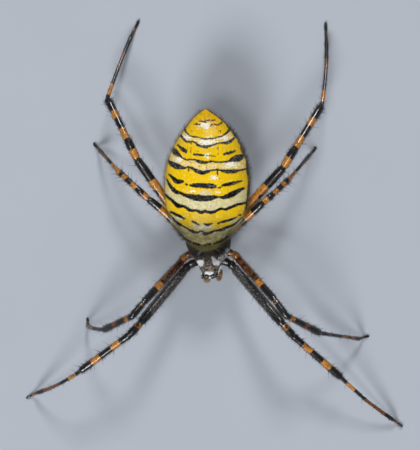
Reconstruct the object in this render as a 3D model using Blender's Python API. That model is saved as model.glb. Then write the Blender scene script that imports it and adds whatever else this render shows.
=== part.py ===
"""Banded garden spider, adult female, as a still life-size model.

The head is toward -Y, the back is up and the eight feet stand on the floor at
Z = 0. Sizes here are in millimetres and turn into metres when a mesh is made.
"""

import math

import bmesh
import bpy
from mathutils import Matrix, Vector

MM = 0.001
UP = Vector((0.0, 0.0, 1.0))

# Fore body: where its middle stands, and how far it is turned on the belly.
PROSOMA_MIDDLE = (-0.58, -2.76)
PROSOMA_TURN = math.radians(3.5)
HIP_HEIGHT = {1: 4.15, 2: 4.15, 3: 4.40, 4: 3.85}
COXA_ROOT_HEIGHT = 4.0

# Abdomen: its front end, length and turn.
ABDOMEN_FRONT = (-0.99, -3.17)
ABDOMEN_LENGTH = 16.1
ABDOMEN_TURN = math.radians(-2.2)
TAIL_LEAN = -0.50
TAIL_LEAN_FROM = 0.84
ABDOMEN_SIDES = 24

# Legs.
LEG_SIDES = 8
JOINT_GAP = 0.10
TOE_HEIGHT = 0.17
TOE_FLAT_SHARE = 0.38
THINNEST = 0.25

# Half the thickness of each segment, for leg pairs 1 to 4.
FEMUR_HALF = {1: 0.59, 2: 0.46, 3: 0.46, 4: 0.55}
PATELLA_HALF = {1: 0.48, 2: 0.42, 3: 0.41, 4: 0.50}
TIBIA_HALF = {1: 0.42, 2: 0.39, 3: 0.36, 4: 0.45}
COXA_HALF = {1: 0.45, 2: 0.42, 3: 0.43, 4: 0.43}

# Inner end and hip of each coxa, and the place that the bent ones curve toward: out
# from the midline and forward of the middle.
COXA_ROOT = {1: (1.00, 1.45), 2: (1.25, 0.60), 3: (1.25, -0.35), 4: (0.95, -1.30)}
HIP = {
    ("left", 1): (2.73, 2.35), ("left", 2): (3.30, 1.40),
    ("left", 3): (2.60, -1.52), ("left", 4): (2.79, -2.50),
    ("right", 1): (2.82, 2.31), ("right", 2): (3.16, 1.34),
    ("right", 3): (2.68, -1.58), ("right", 4): (2.57, -2.55),
}
COXA_BEND = {("left", 1): (2.30, 1.65), ("left", 2): (2.75, 0.42), ("left", 4): (1.70, -2.12),
             ("right", 1): (2.40, 1.68), ("right", 2): (2.60, 0.42), ("right", 4): (1.62, -2.12)}

# The pose. For femur, patella, tibia, metatarsus and tarsus in turn: reach seen
# from above, heading in degrees from +X, and the height of the far joint.
POSE = {
    ("left", 1): ((8.52, -49.1, 7.0), (1.75, -49, 6.2), (7.55, -41.2, 3.9),
                  (7.80, -39.3, 0.75), (1.40, -37, TOE_HEIGHT)),
    ("left", 2): ((6.19, -48.5, 9.4), (2.08, -54.3, 9.9), (4.60, -28, 6.2),
                  (4.78, -10, 1.0), (1.25, 19, TOE_HEIGHT)),
    ("left", 3): ((5.01, 43.1, 6.8), (1.45, 40, 6.4), (2.75, 43, 4.7),
                  (3.60, 49, 0.9), (1.40, 48, TOE_HEIGHT)),
    ("left", 4): ((8.76, 47.8, 6.4), (2.50, 58.3, 6.6), (5.90, 58, 4.3),
                  (7.56, 85, 0.85), (2.20, 92, TOE_HEIGHT)),
    ("right", 1): ((7.84, -129.9, 8.0), (1.70, -132, 8.2), (7.15, -143.5, 6.4),
                   (5.77, -152, 1.0), (1.65, -156, TOE_HEIGHT)),
    ("right", 2): ((6.28, -132.6, 9.4), (1.85, -129.6, 9.9), (3.75, -153, 6.2),
                   (2.07, 172, 1.2), (0.95, 91, TOE_HEIGHT)),
    ("right", 3): ((5.84, 134.5, 5.8), (1.70, 137, 5.9), (3.10, 137, 4.6),
                   (3.20, 132, 0.9), (1.25, 135, TOE_HEIGHT)),
    ("right", 4): ((9.45, 125.0, 5.8), (2.40, 116, 6.0), (5.35, 116, 4.0),
                   (7.80, 70, 0.85), (2.05, 65, TOE_HEIGHT)),
}

# Sideways bow of some metatarsi at their middle, positive to the left of the heading.
SWAY = {("left", 1): -0.20, ("left", 4): -0.18, ("right", 1): 0.22, ("right", 2): 0.11, ("right", 4): 0.07}

# The same for a femur that curves round the abdomen.
FEMUR_SWAY = {("right", 3): -0.28}

# Girth of each kind of segment: how far along, and share of its half thickness.
COXA_GIRTH = ((0.0, 0.84), (0.22, 1.00), (0.48, 1.04), (0.64, 0.92), (0.82, 0.99), (1.0, 0.88))
FEMUR_GIRTH = ((0.0, 0.80), (0.10, 0.90), (0.30, 0.99), (0.55, 1.0), (0.82, 1.0), (0.94, 0.97), (1.0, 0.86))
PATELLA_GIRTH = ((0.0, 0.82), (0.25, 0.95), (0.70, 1.05), (1.0, 0.88))
TIBIA_GIRTH = ((0.0, 0.84), (0.10, 0.92), (0.40, 0.93), (0.75, 1.05), (0.92, 1.14), (1.0, 0.84))
METATARSUS_GIRTH = ((0.0, 1.08), (0.08, 1.12), (0.30, 1.04), (0.55, 1.0), (0.80, 1.0), (1.0, 1.0))
TARSUS_GIRTH = ((0.22, 1.0), (0.45, 1.0), (0.68, 1.0), (0.92, 0.96))

# Upward bow of each segment at its middle.
BOW = {"femur": 0.22, "patella": 0.06, "tibia": 0.12, "metatarsus": 0.22}

# Abdomen stations: share of its length, half width, height of back and of belly.
ABDOMEN_STATIONS = (
    (0.000, 0.00, 8.10, 8.10), (0.015, 1.05, 8.75, 7.60), (0.035, 1.66, 9.15, 7.25),
    (0.070, 2.27, 9.65, 6.85), (0.130, 3.18, 10.25, 6.20), (0.200, 3.88, 10.75, 5.45),
    (0.275, 4.44, 11.15, 4.65), (0.350, 4.75, 11.45, 4.05), (0.430, 4.92, 11.65, 3.65),
    (0.505, 4.92, 11.75, 3.50), (0.580, 4.80, 11.75, 3.60), (0.645, 4.58, 11.65, 3.90),
    (0.720, 4.12, 11.40, 4.50), (0.790, 3.56, 11.03, 5.35), (0.860, 2.78, 10.55, 6.35),
    (0.930, 1.78, 9.95, 7.55), (0.975, 0.86, 9.40, 8.30), (1.000, 0.00, 8.90, 8.90),
)

# Carapace stations, rear to front: forward of the middle, half width, top, underside.
CARAPACE_STATIONS = (
    (-3.05, 0.30, 4.95, 4.76), (-2.85, 1.15, 5.20, 4.72), (-2.40, 1.95, 5.45, 4.70),
    (-1.70, 2.46, 5.88, 4.70), (-0.90, 2.62, 6.20, 4.70), (0.00, 2.46, 6.32, 4.70),
    (0.80, 2.14, 6.36, 4.70), (1.25, 1.83, 6.42, 4.70), (1.70, 1.50, 6.50, 4.69),
    (2.20, 1.30, 6.56, 4.68), (2.80, 1.10, 6.50, 4.66), (3.22, 0.95, 6.26, 4.70),
    (3.46, 0.76, 5.98, 4.86),
)
# How far the shield's middle line bends to the left: forward place, shift.
SHIELD_BEND = ((-3.0, 0.0), (-0.9, 0.04), (0.0, 0.08), (0.8, 0.13), (1.6, 0.17), (2.2, 0.13),
               (2.8, 0.04), (3.2, -0.02), (3.5, -0.03))
CARAPACE_SIDES = 20

# Eyes: out from the midline, forward, height, radius.
EYES = {
    "front_middle": (0.25, 3.44, 5.72, 0.15),
    "rear_middle": (0.33, 3.20, 6.20, 0.16),
    "front_side": (0.88, 3.38, 5.48, 0.12),
    "rear_side": (0.88, 3.13, 5.76, 0.12),
}
SOCKET_ROOM = 1.22

# Jaws: root and end of each chelicera, root and point of its fang; the right one is
# swung forward. Palps: places on the centre line. Out is positive to the left.
JAWS = {
    "left": ((0.51, 2.92, 4.45), (0.50, 3.10, 2.75), (0.45, 2.98, 2.62), (0.24, 2.48, 2.42)),
    "right": ((-0.38, 3.08, 4.45), (-0.36, 3.66, 2.78), (-0.31, 3.54, 2.65), (-0.12, 3.02, 2.45)),
}
PALPS = {
    "left": ((1.08, 2.46, 4.00), (1.19, 2.64, 4.12), (1.24, 2.92, 4.26), (1.20, 3.20, 4.30),
             (1.12, 3.42, 4.18), (1.01, 3.58, 3.92), (0.90, 3.62, 3.55)),
    "right": ((-0.89, 2.48, 4.00), (-0.86, 2.58, 3.64), (-0.83, 2.72, 3.28), (-0.80, 2.90, 2.94),
              (-0.78, 3.08, 2.64), (-0.75, 3.24, 2.38)),
}
TUBERCLE_RADIUS = 0.27


def clear_scene():
    """Empty the scene of whatever it held."""
    for thing in list(bpy.data.objects):
        bpy.data.objects.remove(thing, do_unlink=True)


def finish(name, colour, roughness, metallic=0.0):
    """One plain material for a kind of surface."""
    material = bpy.data.materials.new(name)
    material.use_nodes = True
    shader = material.node_tree.nodes["Principled BSDF"]
    shader.inputs["Base Color"].default_value = (*colour, 1.0)
    shader.inputs["Roughness"].default_value = roughness
    shader.inputs["Metallic"].default_value = metallic
    return material


def add_object(name, mesh_in_progress, material, smooth=True):
    """Turn a bmesh into a named object with outward faces."""
    bmesh.ops.recalc_face_normals(mesh_in_progress, faces=mesh_in_progress.faces)
    mesh = bpy.data.meshes.new(name)
    mesh_in_progress.to_mesh(mesh)
    mesh_in_progress.free()
    mesh.materials.append(material)
    if smooth:
        mesh.shade_smooth()
        mesh.set_sharp_from_angle(angle=math.radians(50))
    thing = bpy.data.objects.new(name, mesh)
    bpy.context.scene.collection.objects.link(thing)
    return thing


def loft(name, rings, material):
    """One closed body over a row of rings; a ring of one point is a pole."""
    body = bmesh.new()
    rows = [[body.verts.new(point * MM) for point in ring] for ring in rings]
    for near, far in zip(rows, rows[1:]):
        count = max(len(near), len(far))
        for i in range(count):
            j = (i + 1) % count
            if len(near) == 1:
                body.faces.new((near[0], far[i], far[j]))
            elif len(far) == 1:
                body.faces.new((near[i], far[0], near[j]))
            else:
                body.faces.new((near[i], far[i], far[j], near[j]))
    for row in (rows[0], rows[-1]):
        if len(row) > 2:
            body.faces.new(row)
    return add_object(name, body, material)


def prosoma_point(out, forward, height):
    """A point of the fore body; out is positive toward the spider's own left."""
    x = PROSOMA_MIDDLE[0] + out * math.cos(PROSOMA_TURN) + forward * math.sin(PROSOMA_TURN)
    y = PROSOMA_MIDDLE[1] - forward * math.cos(PROSOMA_TURN) + out * math.sin(PROSOMA_TURN)
    return Vector((x, y, height))


def abdomen_point(out, along, height):
    """A point of the abdomen; along is a share of its length from the front."""
    reach = along * ABDOMEN_LENGTH
    out += TAIL_LEAN * max(0.0, (along - TAIL_LEAN_FROM) / (1 - TAIL_LEAN_FROM))
    x = ABDOMEN_FRONT[0] + out * math.cos(ABDOMEN_TURN) - reach * math.sin(ABDOMEN_TURN)
    y = ABDOMEN_FRONT[1] + reach * math.cos(ABDOMEN_TURN) + out * math.sin(ABDOMEN_TURN)
    return Vector((x, y, height))


def section(place, along, half_width, top, bottom, waist_share, squareness, sides):
    """A closed rounded section: widest at its waist, domed above, curved below."""
    waist = bottom + (top - bottom) * waist_share
    ring = []
    for i in range(sides):
        angle = 2 * math.pi * (i + 0.5) / sides
        across = math.cos(angle)
        rise = math.sin(angle)
        reach = (abs(across) ** squareness + abs(rise) ** squareness) ** (-1 / squareness)
        height = (top - waist) if rise > 0 else (waist - bottom)
        ring.append(place(half_width * across * reach, along, waist + height * rise * reach))
    return ring


def limb_rings(start, end, girth, half, bow, start_normal, end_normal, sides=LEG_SIDES, sway=0.0):
    """Rings along one limb segment, cut at each end on the plane of its joint."""
    axis = (end - start).normalized()
    side = axis.cross(UP).normalized()
    lift = side.cross(axis)
    rings = []
    for share, thickness in girth:
        centre = start.lerp(end, share) + (lift * bow - side * sway) * 4 * share * (1 - share)
        ring = []
        for i in range(sides):
            angle = 2 * math.pi * (i + 0.5) / sides
            spoke = side * math.cos(angle) + lift * math.sin(angle)
            point = centre + spoke * half * thickness
            if share in (0.0, 1.0):
                joint, normal = (start, start_normal) if share == 0.0 else (end, end_normal)
                point += axis * ((joint - point).dot(normal) / axis.dot(normal))
                point += axis * (JOINT_GAP / 2 if share == 0.0 else -JOINT_GAP / 2)
            ring.append(point)
        rings.append(ring)
    return rings


def side_sign(side):
    """Plus one for the spider's own left, which is toward +X."""
    return 1 if side == "left" else -1


def leg_joints(side, pair):
    """Joint centres of one leg from the inner end of the coxa to the toe."""
    out = side_sign(side)
    root_out, root_forward = COXA_ROOT[pair]
    hip_out, hip_forward = HIP[side, pair]
    joints = [
        prosoma_point(out * root_out, root_forward, COXA_ROOT_HEIGHT),
        prosoma_point(out * hip_out, hip_forward, HIP_HEIGHT[pair]),
    ]
    for reach, heading, height in POSE[side, pair]:
        turn = math.radians(heading)
        step = Vector((math.cos(turn), math.sin(turn), 0.0)) * reach
        joint = joints[-1] + step
        joint.z = height
        joints.append(joint)
    return joints


def foot_rings(knee, ankle, toe, first_normal, sway):
    """Metatarsus and tarsus in one: bowed down to the ankle, then flat on the floor."""
    axis = (ankle - knee).normalized()
    side = axis.cross(UP).normalized()
    lift = side.cross(axis)
    bow = lift * BOW["metatarsus"] - side * sway
    stations = []
    for share, thickness in METATARSUS_GIRTH:
        centre = knee.lerp(ankle, share) + bow * 4 * share * (1 - share)
        stations.append((centre, thickness))
    for share, thickness in TARSUS_GIRTH:
        centre = ankle.lerp(toe, share)
        still_up = max(0.0, 1 - share / (1 - TOE_FLAT_SHARE))
        centre.z = toe.z + (ankle.z - toe.z) * still_up ** 2
        stations.append((centre, thickness))
    rings = []
    for i, (centre, thickness) in enumerate(stations):
        before = stations[max(i - 1, 0)][0]
        after = stations[min(i + 1, len(stations) - 1)][0]
        tangent = (after - before).normalized()
        across = tangent.cross(UP).normalized()
        rise = across.cross(tangent)
        ring = []
        for k in range(LEG_SIDES):
            angle = 2 * math.pi * (k + 0.5) / LEG_SIDES
            spoke = across * math.cos(angle) + rise * math.sin(angle)
            point = centre + spoke * THINNEST * thickness
            if i == 0:
                point += tangent * ((knee - point).dot(first_normal) / tangent.dot(first_normal))
                point += tangent * JOINT_GAP / 2
            point.z = max(point.z, 0.0)
            ring.append(point)
        rings.append(ring)
    tip = toe.copy()
    tip.z = TOE_HEIGHT * 1.2
    rings.append([tip])
    return rings


def coxa_rings(root, pull, hip, half, end_normal):
    """Coxa with trochanter: a tube that leaves the body and curves toward its hip."""
    rings = []
    for share, thickness in COXA_GIRTH:
        centre = root * (1 - share) ** 2 + pull * 2 * share * (1 - share) + hip * share ** 2
        tangent = ((pull - root) * (1 - share) + (hip - pull) * share).normalized()
        across = tangent.cross(UP).normalized()
        rise = across.cross(tangent)
        ring = []
        for i in range(LEG_SIDES):
            angle = 2 * math.pi * (i + 0.5) / LEG_SIDES
            point = centre + (across * math.cos(angle) + rise * math.sin(angle)) * half * thickness
            if share == 1.0:
                point += tangent * ((hip - point).dot(end_normal) / tangent.dot(end_normal) - JOINT_GAP / 2)
            ring.append(point)
        rings.append(ring)
    return rings


def build_leg(side, pair, shell, foot_finish):
    """Coxa with trochanter, femur, patella, tibia, and metatarsus with tarsus."""
    joints = leg_joints(side, pair)
    pull = (joints[0] + joints[1]) / 2
    if (side, pair) in COXA_BEND:
        bend_out, bend_forward = COXA_BEND[side, pair]
        pull = prosoma_point(side_sign(side) * bend_out, bend_forward, pull.z)
    directions = [(joints[1] - pull).normalized()]
    directions += [(b - a).normalized() for a, b in zip(joints[1:], joints[2:])]
    normals = [directions[0]]
    normals += [(a + b).normalized() for a, b in zip(directions, directions[1:])]
    leg_name = f"{side}_leg_{pair}"
    loft(f"{leg_name}_coxa", coxa_rings(joints[0], pull, joints[1], COXA_HALF[pair], normals[1]), shell)
    parts = (
        ("femur", FEMUR_GIRTH, FEMUR_HALF[pair]),
        ("patella", PATELLA_GIRTH, PATELLA_HALF[pair]),
        ("tibia", TIBIA_GIRTH, TIBIA_HALF[pair]),
    )
    for i, (part, girth, half) in enumerate(parts, 1):
        sway = FEMUR_SWAY.get((side, pair), 0.0) if part == "femur" else 0.0
        rings = limb_rings(joints[i], joints[i + 1], girth, half, BOW[part],
                           normals[i], normals[i + 1], sway=sway)
        loft(f"{leg_name}_{part}", rings, shell)
    rings = foot_rings(joints[4], joints[5], joints[6], normals[4], SWAY.get((side, pair), 0.0))
    loft(f"{leg_name}_foot", rings, foot_finish)


def abdomen_rings(grow=0.0):
    """The egg-shaped abdomen, blunt over the carapace and pointed at the tail."""
    rings = []
    for along, half_width, top, bottom in ABDOMEN_STATIONS:
        if half_width == 0.0:
            rings.append([abdomen_point(0.0, along + grow / ABDOMEN_LENGTH * (2 * along - 1), top)])
        else:
            rings.append(section(abdomen_point, along, half_width + grow, top + grow,
                                 bottom - grow, 0.52, 2.15, ABDOMEN_SIDES))
    return rings


def build_abdomen(hide):
    """The abdomen."""
    loft("abdomen", abdomen_rings(), hide)


def shield_point(out, forward, height):
    """Place on the shield, whose middle line bends a little to the left."""
    for (start, first), (end, second) in zip(SHIELD_BEND, SHIELD_BEND[1:]):
        if start <= forward <= end:
            out += first + (second - first) * (forward - start) / (end - start)
            break
    return prosoma_point(out, forward, height)


def build_carapace(shell):
    """The back shield of the fore body, with eight sockets for the eyes."""
    rings = []
    for forward, half_width, top, bottom in CARAPACE_STATIONS:
        rings.append(section(shield_point, forward, half_width, top, bottom, 0.16, 2.1, CARAPACE_SIDES))
    carapace = loft("carapace", rings, shell)
    for side in ("left", "right"):
        out = side_sign(side)
        front = EYES["front_side"]
        rear = EYES["rear_side"]
        middle = shield_point(out * (front[0] + rear[0]) / 2 - out * 0.10,
                              (front[1] + rear[1]) / 2, (front[2] + rear[2]) / 2)
        knob = ball(f"tubercle_{side}", middle, TUBERCLE_RADIUS, shell)
        combine(carapace, knob, "UNION")
    for eye, (eye_out, forward, height, radius) in EYES.items():
        for side in ("left", "right"):
            place = shield_point(side_sign(side) * eye_out, forward, height)
            socket = ball(f"socket_{eye}_{side}", place, radius * SOCKET_ROOM, shell)
            combine(carapace, socket, "DIFFERENCE")
    return carapace


def ball(name, centre, radius, material):
    """A small faceted ball."""
    body = bmesh.new()
    bmesh.ops.create_icosphere(body, subdivisions=2, radius=radius * MM,
                               matrix=Matrix.Translation(centre * MM))
    return add_object(name, body, material)


def combine(target, tool, operation):
    """Join a helper to a body, or cut it out, and keep the helper as a guide."""
    tool.hide_render = True
    tool.display_type = "WIRE"
    change = target.modifiers.new(tool.name, "BOOLEAN")
    change.operation = operation
    change.solver = "EXACT"
    change.object = tool


def build_eyes(glass):
    """Eight eyes, each a ball half sunk in its socket."""
    for eye, (eye_out, forward, height, radius) in EYES.items():
        for side in ("left", "right"):
            place = shield_point(side_sign(side) * eye_out, forward, height)
            ball(f"eye_{eye}_{side}", place, radius, glass)


def build_sternum(shell):
    """The breast plate between the coxae."""
    outline = ((1.95, 0.20), (1.70, 0.52), (1.10, 0.74), (0.30, 0.86),
               (-0.50, 0.82), (-1.10, 0.52), (-1.60, 0.16))
    rings = [section(prosoma_point, forward, half_width, 4.55, 3.35 - 0.15 * half_width, 0.5, 3.0, 10)
             for forward, half_width in outline]
    loft("sternum", rings, shell)


def build_mouthparts(shell):
    """The lip and the two maxillae in one block behind the chelicerae."""
    outline = ((2.02, 0.30), (2.12, 0.46), (2.32, 0.50), (2.44, 0.34))
    rings = [section(prosoma_point, forward, half_width, 4.4, 3.05, 0.5, 2.6, 10)
             for forward, half_width in outline]
    loft("mouthparts", rings, shell)


def build_jaws(shell, claw):
    """The two chelicerae and their fangs."""
    base_girth = ((0.0, 0.85), (0.2, 1.0), (0.6, 0.98), (0.88, 0.80), (1.0, 0.55))
    fang_girth = ((0.0, 1.0), (0.35, 0.85), (0.7, 0.55), (1.0, 0.30))
    for side, (top, bottom, root, point) in JAWS.items():
        top, bottom, root, point = (prosoma_point(*place) for place in (top, bottom, root, point))
        axis = (bottom - top).normalized()
        loft(f"{side}_chelicera", limb_rings(top, bottom, base_girth, 0.40, 0.10, axis, axis, 10), shell)
        axis = (point - root).normalized()
        loft(f"{side}_fang", limb_rings(root, point, fang_girth, 0.15, -0.08, axis, axis, 6), claw)


def build_palps(shell):
    """The two palps: the left bent forward round the jaw, the right tucked under."""
    for side, route in PALPS.items():
        points = [prosoma_point(out, forward, height) for out, forward, height in route]
        rings = []
        for i, centre in enumerate(points):
            tangent = (points[min(i + 1, len(points) - 1)] - points[max(i - 1, 0)]).normalized()
            across = tangent.cross(UP).normalized()
            rise = across.cross(tangent)
            radius = 0.20 if i in (0, len(points) - 1) else THINNEST
            rings.append([centre + (across * math.cos(a) + rise * math.sin(a)) * radius
                          for a in (2 * math.pi * k / LEG_SIDES for k in range(LEG_SIDES))])
        loft(f"{side}_palp", rings, shell)


def build_pedicel(shell):
    """The narrow waist between fore body and abdomen."""
    start = prosoma_point(0.0, -3.16, 4.66)
    end = prosoma_point(0.0, -3.44, 4.86)
    girth = ((0.0, 0.9), (0.5, 0.8), (1.0, 1.0))
    belly_slope = Vector((0.0, 0.56, 0.83))
    rings = limb_rings(start, end, girth, 0.22, 0.0, Vector((0.0, 1.0, 0.2)).normalized(), belly_slope)
    loft("pedicel", rings, shell)


def build_spinnerets(hide):
    """Six silk cones on a low collar under the tail."""
    root = abdomen_point(0.0, 0.735, 4.90)
    lean = Vector((0.0, 0.42, -0.91)).normalized()
    collar_girth = ((0.0, 1.0), (0.6, 0.96), (1.0, 0.80))
    rings = limb_rings(root, root + lean * 1.0, collar_girth, 0.80, 0.0, lean, lean, 12)
    collar = loft("spinnerets", rings, hide)
    across = Vector((1.0, 0.0, 0.0))
    back = lean.cross(across)
    cone_girth = ((0.0, 1.0), (0.6, 0.86), (0.9, 0.55), (1.0, 0.30))
    for i in range(6):
        turn = 2 * math.pi * (i + 0.5) / 6
        spoke = across * math.cos(turn) + back * math.sin(turn)
        base = root + lean * 0.72 + spoke * 0.42
        tip = base + lean * 0.92 - spoke * 0.16
        cone = loft(f"silk_cone_{i}", limb_rings(base, tip, cone_girth, 0.27, 0.0, lean, lean, 8), hide)
        combine(collar, cone, "UNION")
    belly = loft("belly_cut", abdomen_rings(grow=0.06), hide)
    combine(collar, belly, "DIFFERENCE")


def centre_on_footprint():
    """Move everything so the middle of the footprint stands on the origin."""
    solids = [thing for thing in bpy.data.objects if not thing.hide_render]
    corners = [thing.matrix_world @ vertex.co for thing in solids for vertex in thing.data.vertices]
    middle_x = (min(c.x for c in corners) + max(c.x for c in corners)) / 2
    middle_y = (min(c.y for c in corners) + max(c.y for c in corners)) / 2
    for thing in bpy.data.objects:
        thing.location = (-middle_x, -middle_y, 0.0)


def main():
    clear_scene()
    hide = finish("banded_hide", (0.86, 0.62, 0.06), 0.38)
    silver = finish("silver_shield", (0.30, 0.28, 0.25), 0.50)
    dark = finish("dark_shell", (0.06, 0.045, 0.035), 0.32)
    leg = finish("leg_shell", (0.12, 0.07, 0.03), 0.35)
    foot = finish("foot_shell", (0.30, 0.12, 0.04), 0.40)
    claw = finish("claw_horn", (0.05, 0.02, 0.01), 0.22)
    glass = finish("eye_glass", (0.01, 0.01, 0.012), 0.08)
    build_abdomen(hide)
    build_spinnerets(hide)
    build_carapace(silver)
    build_eyes(glass)
    build_sternum(dark)
    build_mouthparts(dark)
    build_jaws(dark, claw)
    build_palps(leg)
    build_pedicel(dark)
    for side, pair in POSE:
        build_leg(side, pair, leg, foot)
    bpy.context.view_layer.update()
    centre_on_footprint()


main()
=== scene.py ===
# %% [markdown]
# # A banded garden spider, life size
# The real animal is a shell: plates and tubes of hard skin joined by soft membrane,
# with fine hair over all of it. The CAD solids fix where every part stands. Here each
# one gets its real surface: a smooth skin a little inside its solid, and hair that
# grows out of that skin as thin solid spikes.

# %% Load the frame
import math

import bpy
import numpy as np
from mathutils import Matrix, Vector


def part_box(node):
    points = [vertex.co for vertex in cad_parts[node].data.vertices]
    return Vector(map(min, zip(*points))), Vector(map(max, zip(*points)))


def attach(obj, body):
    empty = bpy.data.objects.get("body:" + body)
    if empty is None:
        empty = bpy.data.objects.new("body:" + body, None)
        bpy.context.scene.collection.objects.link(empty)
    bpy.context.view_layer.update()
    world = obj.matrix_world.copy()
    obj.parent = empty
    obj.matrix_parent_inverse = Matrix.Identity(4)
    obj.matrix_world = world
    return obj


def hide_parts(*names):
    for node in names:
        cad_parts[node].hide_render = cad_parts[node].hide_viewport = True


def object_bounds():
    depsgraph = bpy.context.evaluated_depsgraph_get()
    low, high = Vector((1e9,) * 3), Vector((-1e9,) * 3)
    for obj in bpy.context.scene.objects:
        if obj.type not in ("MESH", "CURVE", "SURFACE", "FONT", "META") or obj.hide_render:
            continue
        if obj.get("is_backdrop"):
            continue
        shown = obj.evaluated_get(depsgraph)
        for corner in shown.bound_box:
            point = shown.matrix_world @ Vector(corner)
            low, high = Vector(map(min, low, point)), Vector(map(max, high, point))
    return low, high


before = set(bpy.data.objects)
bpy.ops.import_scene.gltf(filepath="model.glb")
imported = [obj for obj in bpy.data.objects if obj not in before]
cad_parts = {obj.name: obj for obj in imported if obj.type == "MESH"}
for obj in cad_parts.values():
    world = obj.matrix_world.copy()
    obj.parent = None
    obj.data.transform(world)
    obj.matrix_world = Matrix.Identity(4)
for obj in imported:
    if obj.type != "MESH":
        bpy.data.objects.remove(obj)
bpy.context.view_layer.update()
MM = 0.001
FLOOR_ROOM = 0.002
BODY = "root"

# %% [markdown]
# ## Camera, floor and light
# The spider stands flat on its toes and the camera looks straight down on it, from 35
# centimetres. A long lens keeps the perspective flat. The floor is one big pale sheet.
# A small lamp stands toward the tail, so the abdomen shines near its tip and throws its
# shade on the fore body. A wide one in front and one above soften that shade.

# %% Camera
CAMERA_HEIGHT = 0.350
SEEN_HEIGHT = 0.05202
SENSOR = 0.036
CAMERA_ASIDE = (-0.00045, -0.00013)
NEAREST_SEEN = 0.01
FARTHEST_SEEN = 20.0

camera_data = bpy.data.cameras.new("camera")
camera_data.sensor_width = SENSOR / MM
camera_data.lens = SENSOR / MM * CAMERA_HEIGHT / SEEN_HEIGHT
camera_data.clip_start = NEAREST_SEEN
camera_data.clip_end = FARTHEST_SEEN
camera = bpy.data.objects.new("camera", camera_data)
camera.location = (*CAMERA_ASIDE, CAMERA_HEIGHT)
bpy.context.scene.collection.objects.link(camera)
bpy.context.scene.camera = camera
bpy.context.scene.view_settings.view_transform = "Standard"
print("lens in mm:", round(camera_data.lens, 1))


# %% Lamps
WHITE_LIGHT = (1.0, 1.0, 1.0)
COOL_LIGHT = (0.97, 0.98, 1.0)
SKY_COLOUR = (0.80, 0.84, 0.90, 1.0)
SKY_STRENGTH = 0.20
LAMPS = (
    # name, direction, distance and width in metres, watts, colour
    ("key_lamp", (0.10, 1.15, 1.0), 0.60, 0.12, 1.55, WHITE_LIGHT),
    ("top_lamp", (-0.20, -0.22, 1.0), 0.90, 0.18, 1.7, WHITE_LIGHT),
    ("front_lamp", (-0.3, -1.0, 1.0), 0.80, 0.26, 4.0, COOL_LIGHT),
)


def softbox(name, direction, distance, size, watts, colour):
    """A square lamp that looks at the middle of the spider."""
    data = bpy.data.lights.new(name, "AREA")
    data.shape = "SQUARE"
    data.size = size
    data.energy = watts
    data.color = colour
    lamp = bpy.data.objects.new(name, data)
    away = Vector(direction).normalized()
    lamp.location = away * distance
    lamp.rotation_mode = "QUATERNION"
    lamp.rotation_quaternion = away.to_track_quat("Z", "Y")
    bpy.context.scene.collection.objects.link(lamp)


for lamp_settings in LAMPS:
    softbox(*lamp_settings)

world = bpy.data.worlds.new("studio")
world.use_nodes = True
sky = world.node_tree.nodes["Background"]
sky.inputs["Color"].default_value = SKY_COLOUR
sky.inputs["Strength"].default_value = SKY_STRENGTH
bpy.context.scene.world = world
print("lamps:", [settings[0] for settings in LAMPS])


# %% [markdown]
# ## Shader maths
# A finish here is mostly sums on masks. `Value` wraps one socket, so `1 - mask * 0.5`
# adds the Math nodes by itself. `Finish` holds one material's nodes, and its `add`
# method makes any other node: its type, its settings first, then its sockets.

# %% Values as Python expressions
NOISE_ROUGHNESS = 0.55


class Value:
    """A number in a shader, with ordinary arithmetic."""

    def __init__(self, tree, socket):
        self.tree = tree
        self.socket = socket

    def maths(self, operation, *terms):
        node = self.tree.nodes.new("ShaderNodeMath")
        node.operation = operation
        for slot, term in zip(node.inputs, terms):
            if isinstance(term, Value):
                self.tree.links.new(term.socket, slot)
            else:
                slot.default_value = term
        return Value(self.tree, node.outputs[0])

    def __add__(self, other):
        return self.maths("ADD", self, other)

    def __radd__(self, other):
        return self.maths("ADD", other, self)

    def __sub__(self, other):
        return self.maths("SUBTRACT", self, other)

    def __rsub__(self, other):
        return self.maths("SUBTRACT", other, self)

    def __mul__(self, other):
        return self.maths("MULTIPLY", self, other)

    def __rmul__(self, other):
        return self.maths("MULTIPLY", other, self)

    def at_least(self, other):
        return self.maths("MAXIMUM", self, other)

    def at_most(self, other):
        return self.maths("MINIMUM", self, other)

    def rises(self, low, high):
        """0 below low, 1 above high, and smooth between; low may be the larger."""
        node = self.tree.nodes.new("ShaderNodeMapRange")
        node.interpolation_type = "SMOOTHSTEP"
        self.tree.links.new(self.socket, node.inputs["Value"])
        node.inputs["From Min"].default_value = min(low, high)
        node.inputs["From Max"].default_value = max(low, high)
        node.inputs["To Min"].default_value = 0.0 if low < high else 1.0
        node.inputs["To Max"].default_value = 1.0 if low < high else 0.0
        return Value(self.tree, node.outputs["Result"])


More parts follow.
